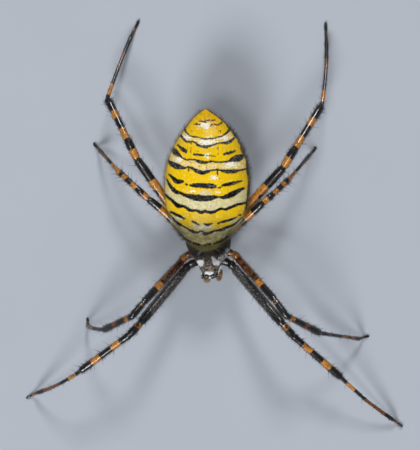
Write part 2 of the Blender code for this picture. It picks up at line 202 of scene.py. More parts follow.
class Finish:
    """One material and the nodes that paint it."""

    def __init__(self, name, **constants):
        self.material = bpy.data.materials.new(name)
        self.material.use_nodes = True
        self.tree = self.material.node_tree
        self.shader = self.tree.nodes["Principled BSDF"]
        for socket, value in constants.items():
            self.shader.inputs[socket.replace("_", " ")].default_value = value
        self.place = self.add("ShaderNodeTexCoord", output="Object")

    def add(self, kind, settings=None, sockets=None, output=0):
        """Any node: its type, its settings, its sockets, and the output wanted."""
        node = self.tree.nodes.new(kind)
        for setting, value in (settings or {}).items():
            setattr(node, setting, value)
        for socket, value in (sockets or {}).items():
            if isinstance(value, Value):
                self.tree.links.new(value.socket, node.inputs[socket])
            else:
                node.inputs[socket].default_value = value
        return Value(self.tree, node.outputs[output])

    def noise(self, per_mm, detail=3.0, stretch=None):
        """Noise from 0 to 1 with so many cells in a millimetre."""
        where = self.place
        if stretch:
            where = self.add("ShaderNodeVectorMath", {"operation": "MULTIPLY"},
                             {0: where, 1: stretch})
        return self.add("ShaderNodeTexNoise", None, {
            "Vector": where, "Scale": per_mm / MM, "Detail": detail, "Roughness": NOISE_ROUGHNESS})

    def cells(self, per_mm, feature="F1"):
        """Distance to the nearest of scattered points, in cells."""
        return self.add("ShaderNodeTexVoronoi", {"feature": feature},
                        {"Vector": self.place, "Scale": per_mm / MM})

    def mark(self, name):
        """A number that the mesh carries at each of its points."""
        return self.add("ShaderNodeAttribute", {"attribute_name": name}, output="Fac")

    def mix(self, share, first, second):
        """Two colours mixed by a share."""
        first, second = (c if isinstance(c, Value) else (*c, 1.0) for c in (first, second))
        return self.add("ShaderNodeMix", {"data_type": "RGBA"},
                        {0: share, 6: first, 7: second}, output=2)

    def set(self, **links):
        """Join what varies to the shader's own sockets."""
        for socket, value in links.items():
            self.tree.links.new(value.socket, self.shader.inputs[socket.replace("_", " ")])

    def bump(self, height, depth_mm):
        """Fine relief from a height that runs from 0 to 1."""
        self.set(Normal=self.add("ShaderNodeBump", None, {
            "Height": height, "Distance": depth_mm * MM, "Strength": 1.0}))


print("finish tools ready")

# %% [markdown]
# ## Mesh tools
# Every piece is gathered in a `Shape`: points, faces, a flat map for baking, and marks,
# which are numbers kept at the points for the finish to read. A skin is a row of rings
# joined into a tube. A hair is a thin three-sided spike with one bend.

# %% Shape
BEND_AT = 0.5
BEND_GIRTH = 0.72
PATCH_AT_ROOT = 0.0015
PATCH_AT_BEND = 0.0008


def unit(vectors):
    """Vectors of length one."""
    return vectors / np.maximum(np.linalg.norm(vectors, axis=-1, keepdims=True), 1e-12)


class Shape:
    """Points in millimetres, triangles, a flat map and marks of one piece."""

    def __init__(self):
        self.points = []
        self.faces = []
        self.maps = []
        self.marks = {}
        self.count = 0

    def add(self, points, faces, maps, marks=None):
        """Add one part; maps holds a place on the flat map for each face corner."""
        self.points.append(points)
        self.faces.append(faces + self.count)
        self.maps.append(maps)
        for name in set(self.marks) | set(marks or {}):
            before = self.marks.setdefault(name, [np.zeros(self.count)] if self.count else [])
            before.append((marks or {}).get(name, np.zeros(len(points))))
        self.count += len(points)

    def tube(self, rings, marks=None):
        """A closed skin over rings of points, laid over the whole flat map."""
        rows, around = rings.shape[:2]
        index = np.arange(rows * around).reshape(rows, around)
        low, high = rows * around, rows * around + 1
        near, far = index[:-1], index[1:]
        turn = (np.arange(around) + 1) / around
        start = np.arange(around) / around
        level = np.linspace(0, 1, rows)
        v_near = np.repeat(level[:-1, None], around, 1)
        v_far = np.repeat(level[1:, None], around, 1)
        u_near = np.repeat(start[None], rows - 1, 0)
        u_far = np.repeat(turn[None], rows - 1, 0)
        side_near, side_far = np.roll(near, -1, 1), np.roll(far, -1, 1)
        first = np.stack([near, side_near, side_far], -1).reshape(-1, 3)
        second = np.stack([near, side_far, far], -1).reshape(-1, 3)
        first_map = np.stack([u_near, v_near, u_far, v_near, u_far, v_far], -1).reshape(-1, 3, 2)
        second_map = np.stack([u_near, v_near, u_far, v_far, u_near, v_far], -1).reshape(-1, 3, 2)
        middle = (start + turn) / 2
        cap_low = np.stack([side_near[0], near[0], np.full(around, low)], -1)
        cap_high = np.stack([far[-1], side_far[-1], np.full(around, high)], -1)
        zero, one = np.zeros(around), np.ones(around)
        low_map = np.stack([turn, zero, start, zero, middle, zero], -1).reshape(-1, 3, 2)
        high_map = np.stack([start, one, turn, one, middle, one], -1).reshape(-1, 3, 2)
        middles = [rings[0].mean(0)[None], rings[-1].mean(0)[None]]
        points = np.concatenate([rings.reshape(-1, 3), *middles])
        faces = np.concatenate([first, second, cap_low, cap_high])
        maps = np.concatenate([first_map, second_map, low_map, high_map])
        a, b, c = (points[faces[:, k]] for k in range(3))
        if (a * np.cross(b, c)).sum() < 0:
            faces, maps = faces[:, ::-1], maps[:, ::-1]
        full = {}
        for name, values in (marks or {}).items():
            grid = np.broadcast_to(values, (rows, around))
            full[name] = np.concatenate([grid.ravel(), [grid[0].mean(), grid[-1].mean()]])
        self.add(points, faces, maps, full)

    def spikes(self, roots, outward, heading, lengths, radii, places, marks=None,
               rise=0.4, droop=0.15, sides=3, sink=0.03):
        """Solid hairs: each leaves its root, bends once and ends in a point."""
        n = len(roots)
        rise = np.broadcast_to(rise, n)[:, None]
        ahead = unit(heading + outward * rise)
        across = unit(np.cross(ahead, outward))
        over = np.cross(across, ahead)
        lengths, radii = lengths[:, None], radii[:, None]
        base = roots - outward * sink
        middle = roots + ahead * lengths * BEND_AT
        tip = roots + unit(ahead - outward * droop) * lengths
        ring = []
        turns = [2 * math.pi * k / sides for k in range(sides)]
        for centre, girth in ((base, 1.0), (middle, BEND_GIRTH)):
            for turn in turns:
                spoke = across * math.cos(turn) + over * math.sin(turn)
                ring.append(centre + spoke * radii * girth)
        points = np.stack([*ring, tip], 1)
        each = 2 * sides + 1
        pattern = []
        for k in range(sides):
            j = (k + 1) % sides
            pattern += [(k, sides + k, sides + j), (k, sides + j, j)]
            pattern += [(sides + k, 2 * sides, sides + j)]
        pattern += [(0, k, k + 1) for k in range(1, sides - 1)]
        pattern = np.array(pattern)[:, ::-1]
        faces = (np.arange(n)[:, None, None] * each + pattern[None]).reshape(-1, 3)
        patch = np.array([(math.cos(turn), math.sin(turn)) for turn in turns])
        spread = np.concatenate([patch * PATCH_AT_ROOT, patch * PATCH_AT_BEND, [[0.0, 0.0]]])
        flat = places[:, None, :] + spread[None]
        maps = flat.reshape(-1, 2)[faces]
        full = {name: np.repeat(values, each) for name, values in (marks or {}).items()}
        full["tip"] = np.tile(np.concatenate([np.zeros(sides), np.full(sides, 0.5), [1.0]]), n)
        self.add(points.reshape(-1, 3), faces, maps, full)

    def make(self, name, finish, slot, replaces=()):
        """The finished object, riding on the body and standing for its nodes.

        Nothing may go below the floor, so the lowest points are held just above it.
        """
        points = np.concatenate(self.points) * MM
        points[:, 2] = np.maximum(points[:, 2], FLOOR_ROOM * MM)
        faces = np.concatenate(self.faces)
        mesh = bpy.data.meshes.new(name)
        mesh.vertices.add(len(points))
        mesh.vertices.foreach_set("co", points.astype(np.float32).ravel())
        mesh.loops.add(faces.size)
        mesh.loops.foreach_set("vertex_index", faces.astype(np.int32).ravel())
        mesh.polygons.add(len(faces))
        mesh.polygons.foreach_set("loop_start", np.arange(0, faces.size, 3, dtype=np.int32))
        mesh.polygons.foreach_set("loop_total", np.full(len(faces), 3, dtype=np.int32))
        mesh.update(calc_edges=True)
        layer = mesh.uv_layers.new(name="OFBake")
        layer.uv.foreach_set("vector", np.concatenate(self.maps).astype(np.float32).ravel())
        for mark, values in self.marks.items():
            attribute = mesh.attributes.new(mark, "FLOAT", "POINT")
            attribute.data.foreach_set("value", np.concatenate(values).astype(np.float32))
        mesh.materials.append(finish.material)
        mesh.shade_smooth()
        piece = bpy.data.objects.new(name, mesh)
        bpy.context.scene.collection.objects.link(piece)
        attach(piece, BODY)
        if replaces:
            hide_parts(*replaces)
        print(f"{name}: {len(faces)} triangles")
        return piece


# %% Reading the CAD solids
def node_points(name):
    """A CAD node's points in millimetres."""
    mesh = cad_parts[name].data
    points = np.zeros(len(mesh.vertices) * 3)
    mesh.vertices.foreach_get("co", points)
    return points.reshape(-1, 3) / MM


def cut(name, point, normal):
    """Where a plane crosses the edges of a CAD node."""
    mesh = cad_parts[name].data
    points = node_points(name)
    edges = np.zeros(len(mesh.edges) * 2, dtype=np.int32)
    mesh.edges.foreach_get("vertices", edges)
    a, b = points[edges.reshape(-1, 2).T]
    da, db = (a - point) @ normal, (b - point) @ normal
    crossed = (da < 0) != (db < 0)
    share = (da / np.where(da == db, 1.0, da - db))[crossed][:, None]
    return a[crossed] + (b - a)[crossed] * share


def smooth_through(at, knots, values):
    """A smooth curve through values at knots, for numbers or for points."""
    knots, values = np.asarray(knots, float), np.asarray(values, float)
    shape = (-1,) + (1,) * (values.ndim - 1)
    slopes = np.gradient(values, knots, axis=0)
    i = np.clip(np.searchsorted(knots, at) - 1, 0, len(knots) - 2)
    gap = (knots[i + 1] - knots[i]).reshape(shape)
    t = (np.asarray(at) - knots[i]).reshape(shape) / gap
    return ((2 * t**3 - 3 * t**2 + 1) * values[i] + (t**3 - 2 * t**2 + t) * gap * slopes[i]
            + (3 * t**2 - 2 * t**3) * values[i + 1] + (t**3 - t**2) * gap * slopes[i + 1])


def hump(distance, width):
    """1 at distance 0, falling smoothly to nothing."""
    return np.exp(-(distance / width) ** 2)


def oval(across, along, place):
    """A soft spot, from its middle across and along, its half width and half length."""
    middle_across, middle_along, half_width, half_length = place
    return hump(np.hypot((across - middle_across) / half_width, (along - middle_along) / half_length), 1)


def held(values):
    """Values held between 0 and 1."""
    return np.clip(values, 0, 1)


UP = np.array([0.0, 0.0, 1.0])
print("mesh tools ready")

# %% [markdown]
# ## Abdomen: shape
# The abdomen is a soft bag, not a plate: an egg that leans over the fore body and runs
# to a point at the tail. A lofted skin suits it. Its stations are read off the CAD
# solid, joined by smooth curves, and set a hair's depth inside. On the back are paired
# pits where muscles hold on; below are the furrow, the lung covers and the epigyne.

# %% Abdomen stations
ABDOMEN_TURN = math.radians(-2.2)
SKIN_DEPTH = 0.07
BAG_RINGS = 300
BAG_SIDES = 300
WAIST_SHARE = 0.52
SQUARENESS = 2.15
END_TURN = 0.05
THINNEST = 0.02
LEVEL_ROOM = 0.02

bag_points = node_points("abdomen")
bag_front = bag_points[bag_points[:, 1].argmin()]
bag_out = np.array([math.cos(ABDOMEN_TURN), math.sin(ABDOMEN_TURN), 0.0])
bag_back = np.array([-math.sin(ABDOMEN_TURN), math.cos(ABDOMEN_TURN), 0.0])
bag_along = (bag_points - bag_front) @ bag_back
bag_across = (bag_points - bag_front) @ bag_out
bag_length = bag_along.max()

stations = []
for level in np.unique(np.round(bag_along, 2)):
    ring = abs(bag_along - level) < LEVEL_ROOM
    left, right = bag_across[ring].max(), bag_across[ring].min()
    stations.append((level, (left - right) / 2, bag_points[ring, 2].max(),
                     bag_points[ring, 2].min(), (left + right) / 2))
stations = np.array(stations)
station_turn = np.arccos(1 - 2 * np.clip(stations[:, 0] / bag_length, 0, 1))


def bag_station(turn):
    """Along, half width, back, belly and lean at a turn from 0 (front) to pi (tail)."""
    half, top, low, lean = (smooth_through(turn, station_turn, stations[:, column])
                            for column in (1, 2, 3, 4))
    return bag_length * (1 - np.cos(turn)) / 2, np.maximum(half, 0), top, low, lean


print("abdomen stations:", len(stations), "length", round(bag_length, 2))

# %% Abdomen skin points
PITS = ((-2.0, 13.6), (1.25, 13.65), (-1.95, 11.7), (1.1, 11.7), (-2.1, 9.2),
        (1.1, 8.9), (-2.1, 6.9), (1.2, 6.9), (-1.9, 4.0), (1.1, 4.0))
PIT_DEPTH = 0.11
PIT_WIDTH = 0.20
PIT_RIM_HEIGHT = 0.03
PIT_RIM_WIDTH = PIT_WIDTH * 2.6
FURROW_ALONG = 4.75
FURROW_HALF = 2.6
FURROW_DEPTH = 0.10
FURROW_WIDTH = 0.16
LUNG_ACROSS = 1.45
LUNG_ALONG = 3.75
LUNG_SIZE = 0.75
LUNG_HEIGHT = 0.05
EPIGYNE_HEIGHT = 0.06
EPIGYNE_HOLE_DEPTH = 0.12
# middle across and along, half width and half length
EPIGYNE = (0, 4.25, 0.55, 0.38)
EPIGYNE_HOLE = (0.20, 4.45, 0.14, 0.16)


def bag_grid(rings, sides):
    """Skin points of the abdomen with their places: along, developed width, fall."""
    turn = np.linspace(END_TURN, math.pi - END_TURN, rings)
    along, half, top, low, lean = (values[:, None] for values in bag_station(turn))
    half = np.maximum(half - SKIN_DEPTH, THINNEST)
    top, low = top - SKIN_DEPTH, low + SKIN_DEPTH
    waist = low + (top - low) * WAIST_SHARE
    angle = -math.pi / 2 + 2 * math.pi * np.arange(sides)[None] / sides
    across, rise = np.cos(angle), np.sin(angle)
    reach = (abs(across) ** SQUARENESS + abs(rise) ** SQUARENESS) ** (-1 / SQUARENESS)
    out = half * across * reach
    height = waist + np.where(rise > 0, top - waist, waist - low) * rise * reach
    fall = np.maximum(waist - height, 0)
    wide = np.where(rise >= 0, out + lean, lean + np.sign(across) * (half + fall))
    under = np.where(rise < 0, fall / np.maximum(waist - low, 0.01), 0.0)
    along = np.broadcast_to(along, out.shape)
    flat = bag_front[:2] + (out + lean)[..., None] * bag_out[:2] + along[..., None] * bag_back[:2]
    points = np.concatenate([flat, height[..., None]], -1)
    rim = np.where(rise >= 0, abs(out) - half, fall)
    return points, along, wide, out, under, rim


def ring_normals(grid):
    """Outward directions on a closed tube of points."""
    around = np.roll(grid, -1, 1) - np.roll(grid, 1, 1)
    down = np.gradient(grid, axis=0)
    normal = unit(np.cross(down, around))
    inside = grid.mean(1, keepdims=True)
    return np.where((normal * (grid - inside)).sum(-1, keepdims=True) < 0, -normal, normal)


points, along, wide, out, under, rim = bag_grid(BAG_RINGS, BAG_SIDES)
push = np.zeros_like(along)
above = under == 0
for across_pit, along_pit in PITS:
    gap = np.hypot(wide - across_pit, along - along_pit)
    push -= above * PIT_DEPTH * hump(gap, PIT_WIDTH)
    push += above * PIT_RIM_HEIGHT * hump(gap, PIT_RIM_WIDTH)
below = held(under * 2 - 1)
push -= below * FURROW_DEPTH * hump(along - FURROW_ALONG, FURROW_WIDTH) * (abs(out) < FURROW_HALF)
gap = np.hypot((abs(out) - LUNG_ACROSS) / LUNG_SIZE, (along - LUNG_ALONG) / LUNG_SIZE)
push += below * LUNG_HEIGHT * np.clip(1.3 - gap, 0, 0.4) / 0.4
push += below * EPIGYNE_HEIGHT * oval(out, along, EPIGYNE)
push -= below * EPIGYNE_HOLE_DEPTH * oval(abs(out), along, EPIGYNE_HOLE)
points = points + ring_normals(points) * push[..., None]
bag_normals = ring_normals(points)
print("abdomen skin:", points.shape[:2])

# %% [markdown]
# ## Abdomen: markings
# Black bands cross the back. Each sags toward the head in the middle and has scallops
# where it meets the pits; between them stand short dashes. A band is a handful of
# places given across and along in millimetres with half its thickness there,
# run through with a smooth curve. The skin keeps its distance to the nearest curve, and
# the finish turns that distance into an edge, so a band is crisp and still ragged.

# %% Bands and dashes
BANDS = (
    ((-1.7, 14.3, .05), (-1.1, 14.3, .07)),
    ((-1.05, 14.65, .06), (-.8, 14.65, .05)),
    ((-.6, 14.6, .08), (0, 14.85, .06)),
    ((.15, 14.2, .06), (.5, 14.4, .06), (.9, 14.3, .08), (1.45, 14.65, .06)),
    ((.2, 14.75, .05), (.5, 14.85, .05)),
    ((-2.8, 13.7, .12), (-2.5, 13.25, .07), (-2.2, 13.0, .06), (-1.2, 12.8, .06), (-.4, 12.65, .07),
     (.4, 12.75, .06), (1.4, 13.05, .06), (1.9, 13.4, .09), (2.4, 14.0, .16)),
    ((-3.4, 13.3, .06), (-3.1, 12.9, .10), (-2.7, 12.4, .11), (-2.4, 12.25, .10), (-1.75, 12.3, .07),
     (-1.05, 11.85, .12), (-.5, 11.75, .16), (.05, 11.85, .10), (1.0, 12.2, .07), (1.5, 12.3, .08),
     (2.0, 12.3, .17), (2.4, 12.5, .15), (2.9, 13.0, .08)),
    ((-3.5, 11.9, .06), (-2.9, 11.4, .19), (-2.5, 11.15, .17)),
    ((-1.6, 10.85, .09), (-1.2, 10.85, .11), (-.4, 10.8, .05), (.8, 10.75, .03)),
    ((1.8, 11.0, .10), (2.4, 11.2, .16), (3.0, 11.45, .06)),
    ((-4.0, 11.5, .10), (-3.75, 11.1, .30), (-3.1, 10.6, .09), (-2.6, 10.3, .07), (-1.5, 10.25, .09),
     (-.9, 10.05, .18), (-.3, 10.0, .14), (.4, 10.15, .08), (1.1, 10.1, .07), (1.8, 10.15, .08),
     (2.4, 10.3, .11), (2.8, 10.5, .24), (3.3, 10.65, .38), (3.7, 10.85, .26), (4.0, 11.0, .05)),
    ((-5.0, 10.5, .08), (-4.5, 10.1, .10), (-4.0, 9.7, .27), (-3.4, 9.45, .31), (-3.0, 9.35, .20),
     (-2.6, 9.3, .10), (-2.2, 9.45, .07), (-1.7, 9.25, .14), (-1.2, 9.0, .20), (-.5, 8.85, .20),
     (0, 9.0, .15), (.6, 9.15, .08), (1.1, 9.25, .07), (1.7, 9.15, .12), (2.3, 9.1, .21),
     (3.0, 9.15, .20), (3.6, 9.3, .10), (4.3, 9.5, .10), (4.9, 9.8, .14), (5.6, 10.1, .08)),
    ((-2.2, 9.35, .05), (-2.15, 9.0, .05)),
    ((1.1, 9.1, .04), (1.1, 8.8, .08)),
    ((-4.4, 8.6, .05), (-3.9, 8.2, .16), (-3.4, 7.75, .24), (-2.8, 7.8, .18)),
    ((-2.4, 7.5, .07), (-2.25, 7.42, .08)),
    ((-1.95, 7.4, .06), (-1.5, 7.4, .20), (-.5, 7.4, .24), (.6, 7.38, .25), (.85, 7.38, .18)),
    ((1.15, 7.2, .05), (1.5, 7.28, .07)),
    ((1.8, 7.55, .15), (2.5, 7.7, .18), (3.2, 7.9, .14), (3.9, 8.15, .04)),
    ((-4.6, 8.1, .06), (-4.4, 7.7, .11), (-4.1, 7.2, .16), (-3.5, 6.65, .22), (-2.9, 6.45, .16),
     (-2.3, 6.25, .17), (-1.7, 6.1, .28), (-.8, 6.0, .34), (0, 6.0, .31), (.8, 6.15, .22),
     (1.2, 6.2, .11), (1.6, 6.15, .12), (2.1, 6.25, .20), (2.9, 6.6, .30), (3.5, 7.0, .22),
     (4.1, 7.3, .08)),
    ((-5.6, 6.9, .05), (-4.8, 6.35, .12), (-4.35, 6.0, .13), (-3.85, 5.6, .16), (-3.0, 5.0, .21),
     (-2.6, 5.05, .14), (-2.2, 4.85, .15), (-1.8, 4.6, .16), (-1.2, 4.6, .14), (-.5, 4.45, .18),
     (-.1, 4.55, .15), (.6, 4.45, .17), (1.1, 4.65, .13), (1.7, 4.9, .13), (2.2, 4.85, .14),
     (2.7, 5.1, .13), (3.5, 5.45, .12), (4.4, 5.7, .12), (5.0, 5.95, .13), (5.8, 6.3, .06)),
    ((-4.05, 4.35, .09), (-3.2, 4.0, .14), (-2.4, 3.65, .08)),
    ((-1.5, 3.35, .11), (-1.1, 3.2, .10), (-.8, 3.05, .07)),
    ((-.2, 3.15, .05), (.2, 3.05, .12), (.7, 3.25, .06)),
    ((1.4, 3.25, .05), (1.9, 3.45, .11), (2.7, 3.7, .12), (3.4, 4.0, .05)),
    ((3.7, 4.25, .08), (3.9, 4.32, .07)),
    ((-4.3, 4.3, .04), (-3.4, 3.3, .11), (-3.0, 3.0, .13), (-2.4, 2.75, .08), (-1.7, 2.35, .10),
     (-1.0, 2.15, .12), (-.4, 2.3, .07), (-.1, 2.05, .15), (.6, 2.2, .12), (1.1, 2.4, .08),
     (1.8, 2.55, .14), (2.4, 2.85, .13), (3.1, 3.15, .08), (4.0, 4.0, .04)),
    ((-3.6, 2.8, .04), (-2.85, 1.9, .08), (-2.3, 1.4, .09), (-1.6, 1.05, .06)),
    ((-1.3, .95, .08), (-.6, .75, .09)),
    ((.05, .75, .09), (.65, .95, .06)),
    ((1.05, 1.0, .08), (1.8, 1.3, .09), (2.6, 1.85, .06)),
)
# pairs of bands, counted from 0, with cream between them
CREAM_BETWEEN = ((5, 6), (10, 11), (19, 20), (26, 27))
CREAM_FADE = 0.12
# painted highlights: pale patches where glare falls on the back
# middle across and along, half width and half length
GLARE_PATCHES = ((-.52, 14.23, .70, .38), (-.22, 12.31, .80, .42), (-2.52, 12.77, .50, .24),
          (1.80, 12.88, .55, .22), (-.17, 10.80, .32, .22), (-3.31, 10.20, .45, .26),
          (2.60, 9.86, .70, .30), (.76, 8.35, .36, .18), (-2.9, 3.75, .30, .14),
          (-.3, 2.75, .5, .14), (-1.6, 6.72, .4, .10), (1.2, 6.75, .4, .10))
# place across and along, and half thickness
SPOTS = ((-1.99, 13.59, .035), (1.25, 13.66, .065), (1.05, 11.75, .05), (-1.97, 12.05, .045))
SPOT_LENGTH = .04
# places along, and half the thickness of the dark outline there
RIGHT_RIM = ((4.0, 5.5, 9.0, 13.5, 15.6), (0.0, .16, .22, .27, .16))
LEFT_RIM = ((5.0, 7.0, 12.0, 13.6, 15.6), (0.0, .06, .06, .15, .16))
RIGHT_RIM_INSIDE = -0.10
SEAM_HALF = .10
MIDDLE_ACROSS = -.1
# distances to a marking stop at FAR, and every marking is drawn thicker by INK
FAR = 0.8
INK = 0.025
DOT_STEP = 0.06


def line_points(places):
    """Even places along one marking."""
    places = np.array(places)
    run = np.concatenate([[0], np.cumsum(np.hypot(*np.diff(places[:, :2], axis=0).T))])
    dots = max(3, int(run[-1] / DOT_STEP))
    return smooth_through(np.linspace(0, run[-1], dots), run, places)


def to_lines(wide, along, lines):
    """Distance to the edge of the nearest marking, less than 0 inside it."""
    nearest = np.full(wide.shape, FAR)
    for line in lines:
        dots = line_points(line)
        lows, highs = dots[:, :2].min(0) - FAR, dots[:, :2].max(0) + FAR
        close = (wide > lows[0]) & (wide < highs[0]) & (along > lows[1]) & (along < highs[1])
        gap = np.hypot(wide[close][:, None] - dots[None, :, 0], along[close][:, None] - dots[None, :, 1])
        nearest[close] = np.minimum(nearest[close], (gap - dots[None, :, 2]).min(1))
    return nearest


def between(wide, along, tailward, headward):
    """1 where a place lies between two bands."""
    edge = []
    for number in (tailward, headward):
        dots = line_points(BANDS[number])
        order = dots[:, 0].argsort()
        edge.append(np.interp(wide, dots[order, 0], dots[order, 1]))
    return held((edge[0] - along) / CREAM_FADE) * held((along - edge[1]) / CREAM_FADE)


def bag_rim(along, out, rim):
    """Distance to the dark line along the outline, thicker on the right side."""
    right_rim = np.interp(along, *RIGHT_RIM)
    right_rim = right_rim * (1 + 0.22 * np.sin(along * 2.9) + 0.12 * np.sin(along * 7.7))
    thick = np.where(out > 0, right_rim, np.interp(along, *LEFT_RIM))
    centre = np.where(out > 0, RIGHT_RIM_INSIDE, 0.0)
    return np.where(thick > 0, abs(rim - centre) - thick, FAR)


def bag_cream(wide, along):
    """1 where the yellow is thin: between some bands, and in a few patches."""
    cream = sum(between(wide, along, tailward, headward) for tailward, headward in CREAM_BETWEEN)
    patch = (oval(wide, along, (-.2, 6.6, 1.1, .38)) * 0.8
             + oval(wide, along, (-.4, 2.75, 1.3, .35))
             + oval(abs(wide), along, (3.3, 3.6, .9, .45)) * 0.8
             + oval(wide, along, (0, 1.35, 2.6, .80)))
    return held(cream + patch)


def bag_seams(wide, along):
    """Thin dark lines that run tailward between the pits."""
    outer = held(1 - abs(abs(wide + .45) - 1.53) / SEAM_HALF)
    outer = outer * np.interp(along, (8.2, 8.8, 12.2, 12.8), (0, 1, 1, 0))
    inner = held(1 - abs(abs(wide + .53) - .42) / SEAM_HALF) * (along > 9.2) * (along < 10.1)
    return np.maximum(outer, inner)


def belly_stripe(along, out, under):
    """Two ragged stripes that run back along the belly."""
    aside = abs(out) - (1.15 + 0.25 * np.sin(along * 0.45))
    past_end = (abs(along - 8.0) - 2.4).clip(0)
    ragged_half = 0.30 + 0.06 * np.sin(along * 3.3)
    return (under > 0.5) * hump(np.hypot(aside / ragged_half, past_end / 0.45), 1.0)


def bag_marks(wide, along, out, under, rim):
    """All that the finish needs to know of a place on the abdomen."""
    from_middle = wide - MIDDLE_ACROSS
    spots = [((x, y, half), (x + SPOT_LENGTH, y, half)) for x, y, half in SPOTS]
    return {
        "line": np.minimum(to_lines(wide, along, BANDS) - INK, bag_rim(along, out, rim)),
        "cream": bag_cream(wide, along),
        # painted highlights: where the pale glare patches lie
        "white": held(sum(oval(wide, along, place) for place in GLARE_PATCHES)),
        "spot": to_lines(wide, along, spots),
        "seam": bag_seams(wide, along),
        # front and face mostly place painted shade: olive toward the head, dark on the front face
        "front": held(1 - along / 5.4),
        "brow": held((0.98 + 0.11 * from_middle ** 2 - along) / 0.35),
        "shade": held(1.25 - along / 3.6) * held((abs(from_middle) - 0.9 - along * 0.35) / 1.1),
        "face": held((0.10 + 0.13 * (wide + .2) ** 2 - along) / 0.5),
        "tail": held((along - 13.2) / 1.6),
        "rear": held((along - 5.0) / 6.0),
        "flank": (np.clip(rim + 0.9, 0, 3) / 3 * (under < 0.02)
                  + held(0.3 + rim / 3) * (under >= 0.02)),
        "belly": held((under - 0.42) / 0.40),
        "stripe": belly_stripe(along, out, under),
    }


marks = bag_marks(wide, along, out, under, rim)
print("bands and dashes:", len(BANDS))

# %% [markdown]
# ## Abdomen: finish
# The yellow lies in grains under a clear skin, so the colour breaks into small specks and
# the surface shines over it. The cream zones are the same with the yellow thin. Inside a
# thick band the black is not flat either: a grey sheen, the glint of fine pale hair, is
# painted on it. Glare is painted as well, as pale patches on the back, and so is shade:
# olive toward the head, at the front corners and dark on the front face.

# %% Abdomen finish
YELLOW = (0.86, 0.565, 0.001)
AMBER = (0.84, 0.440, 0.002)
CREAM = (0.64, 0.56, 0.25)
PALE = (0.93, 0.92, 0.85)
OLIVE = (0.050, 0.044, 0.013)
FACE_SHADE = (0.045, 0.030, 0.012)
BLACK = (0.0045, 0.0040, 0.0038)
PAINTED_SHEEN = (0.30, 0.30, 0.32)
RUST = (0.16, 0.012, 0.004)
BELLY = (0.030, 0.020, 0.012)
HAIR_PALE = (0.40, 0.34, 0.20)
HAIR_DARK = (0.040, 0.034, 0.028)
PATCHINESS = 1.0


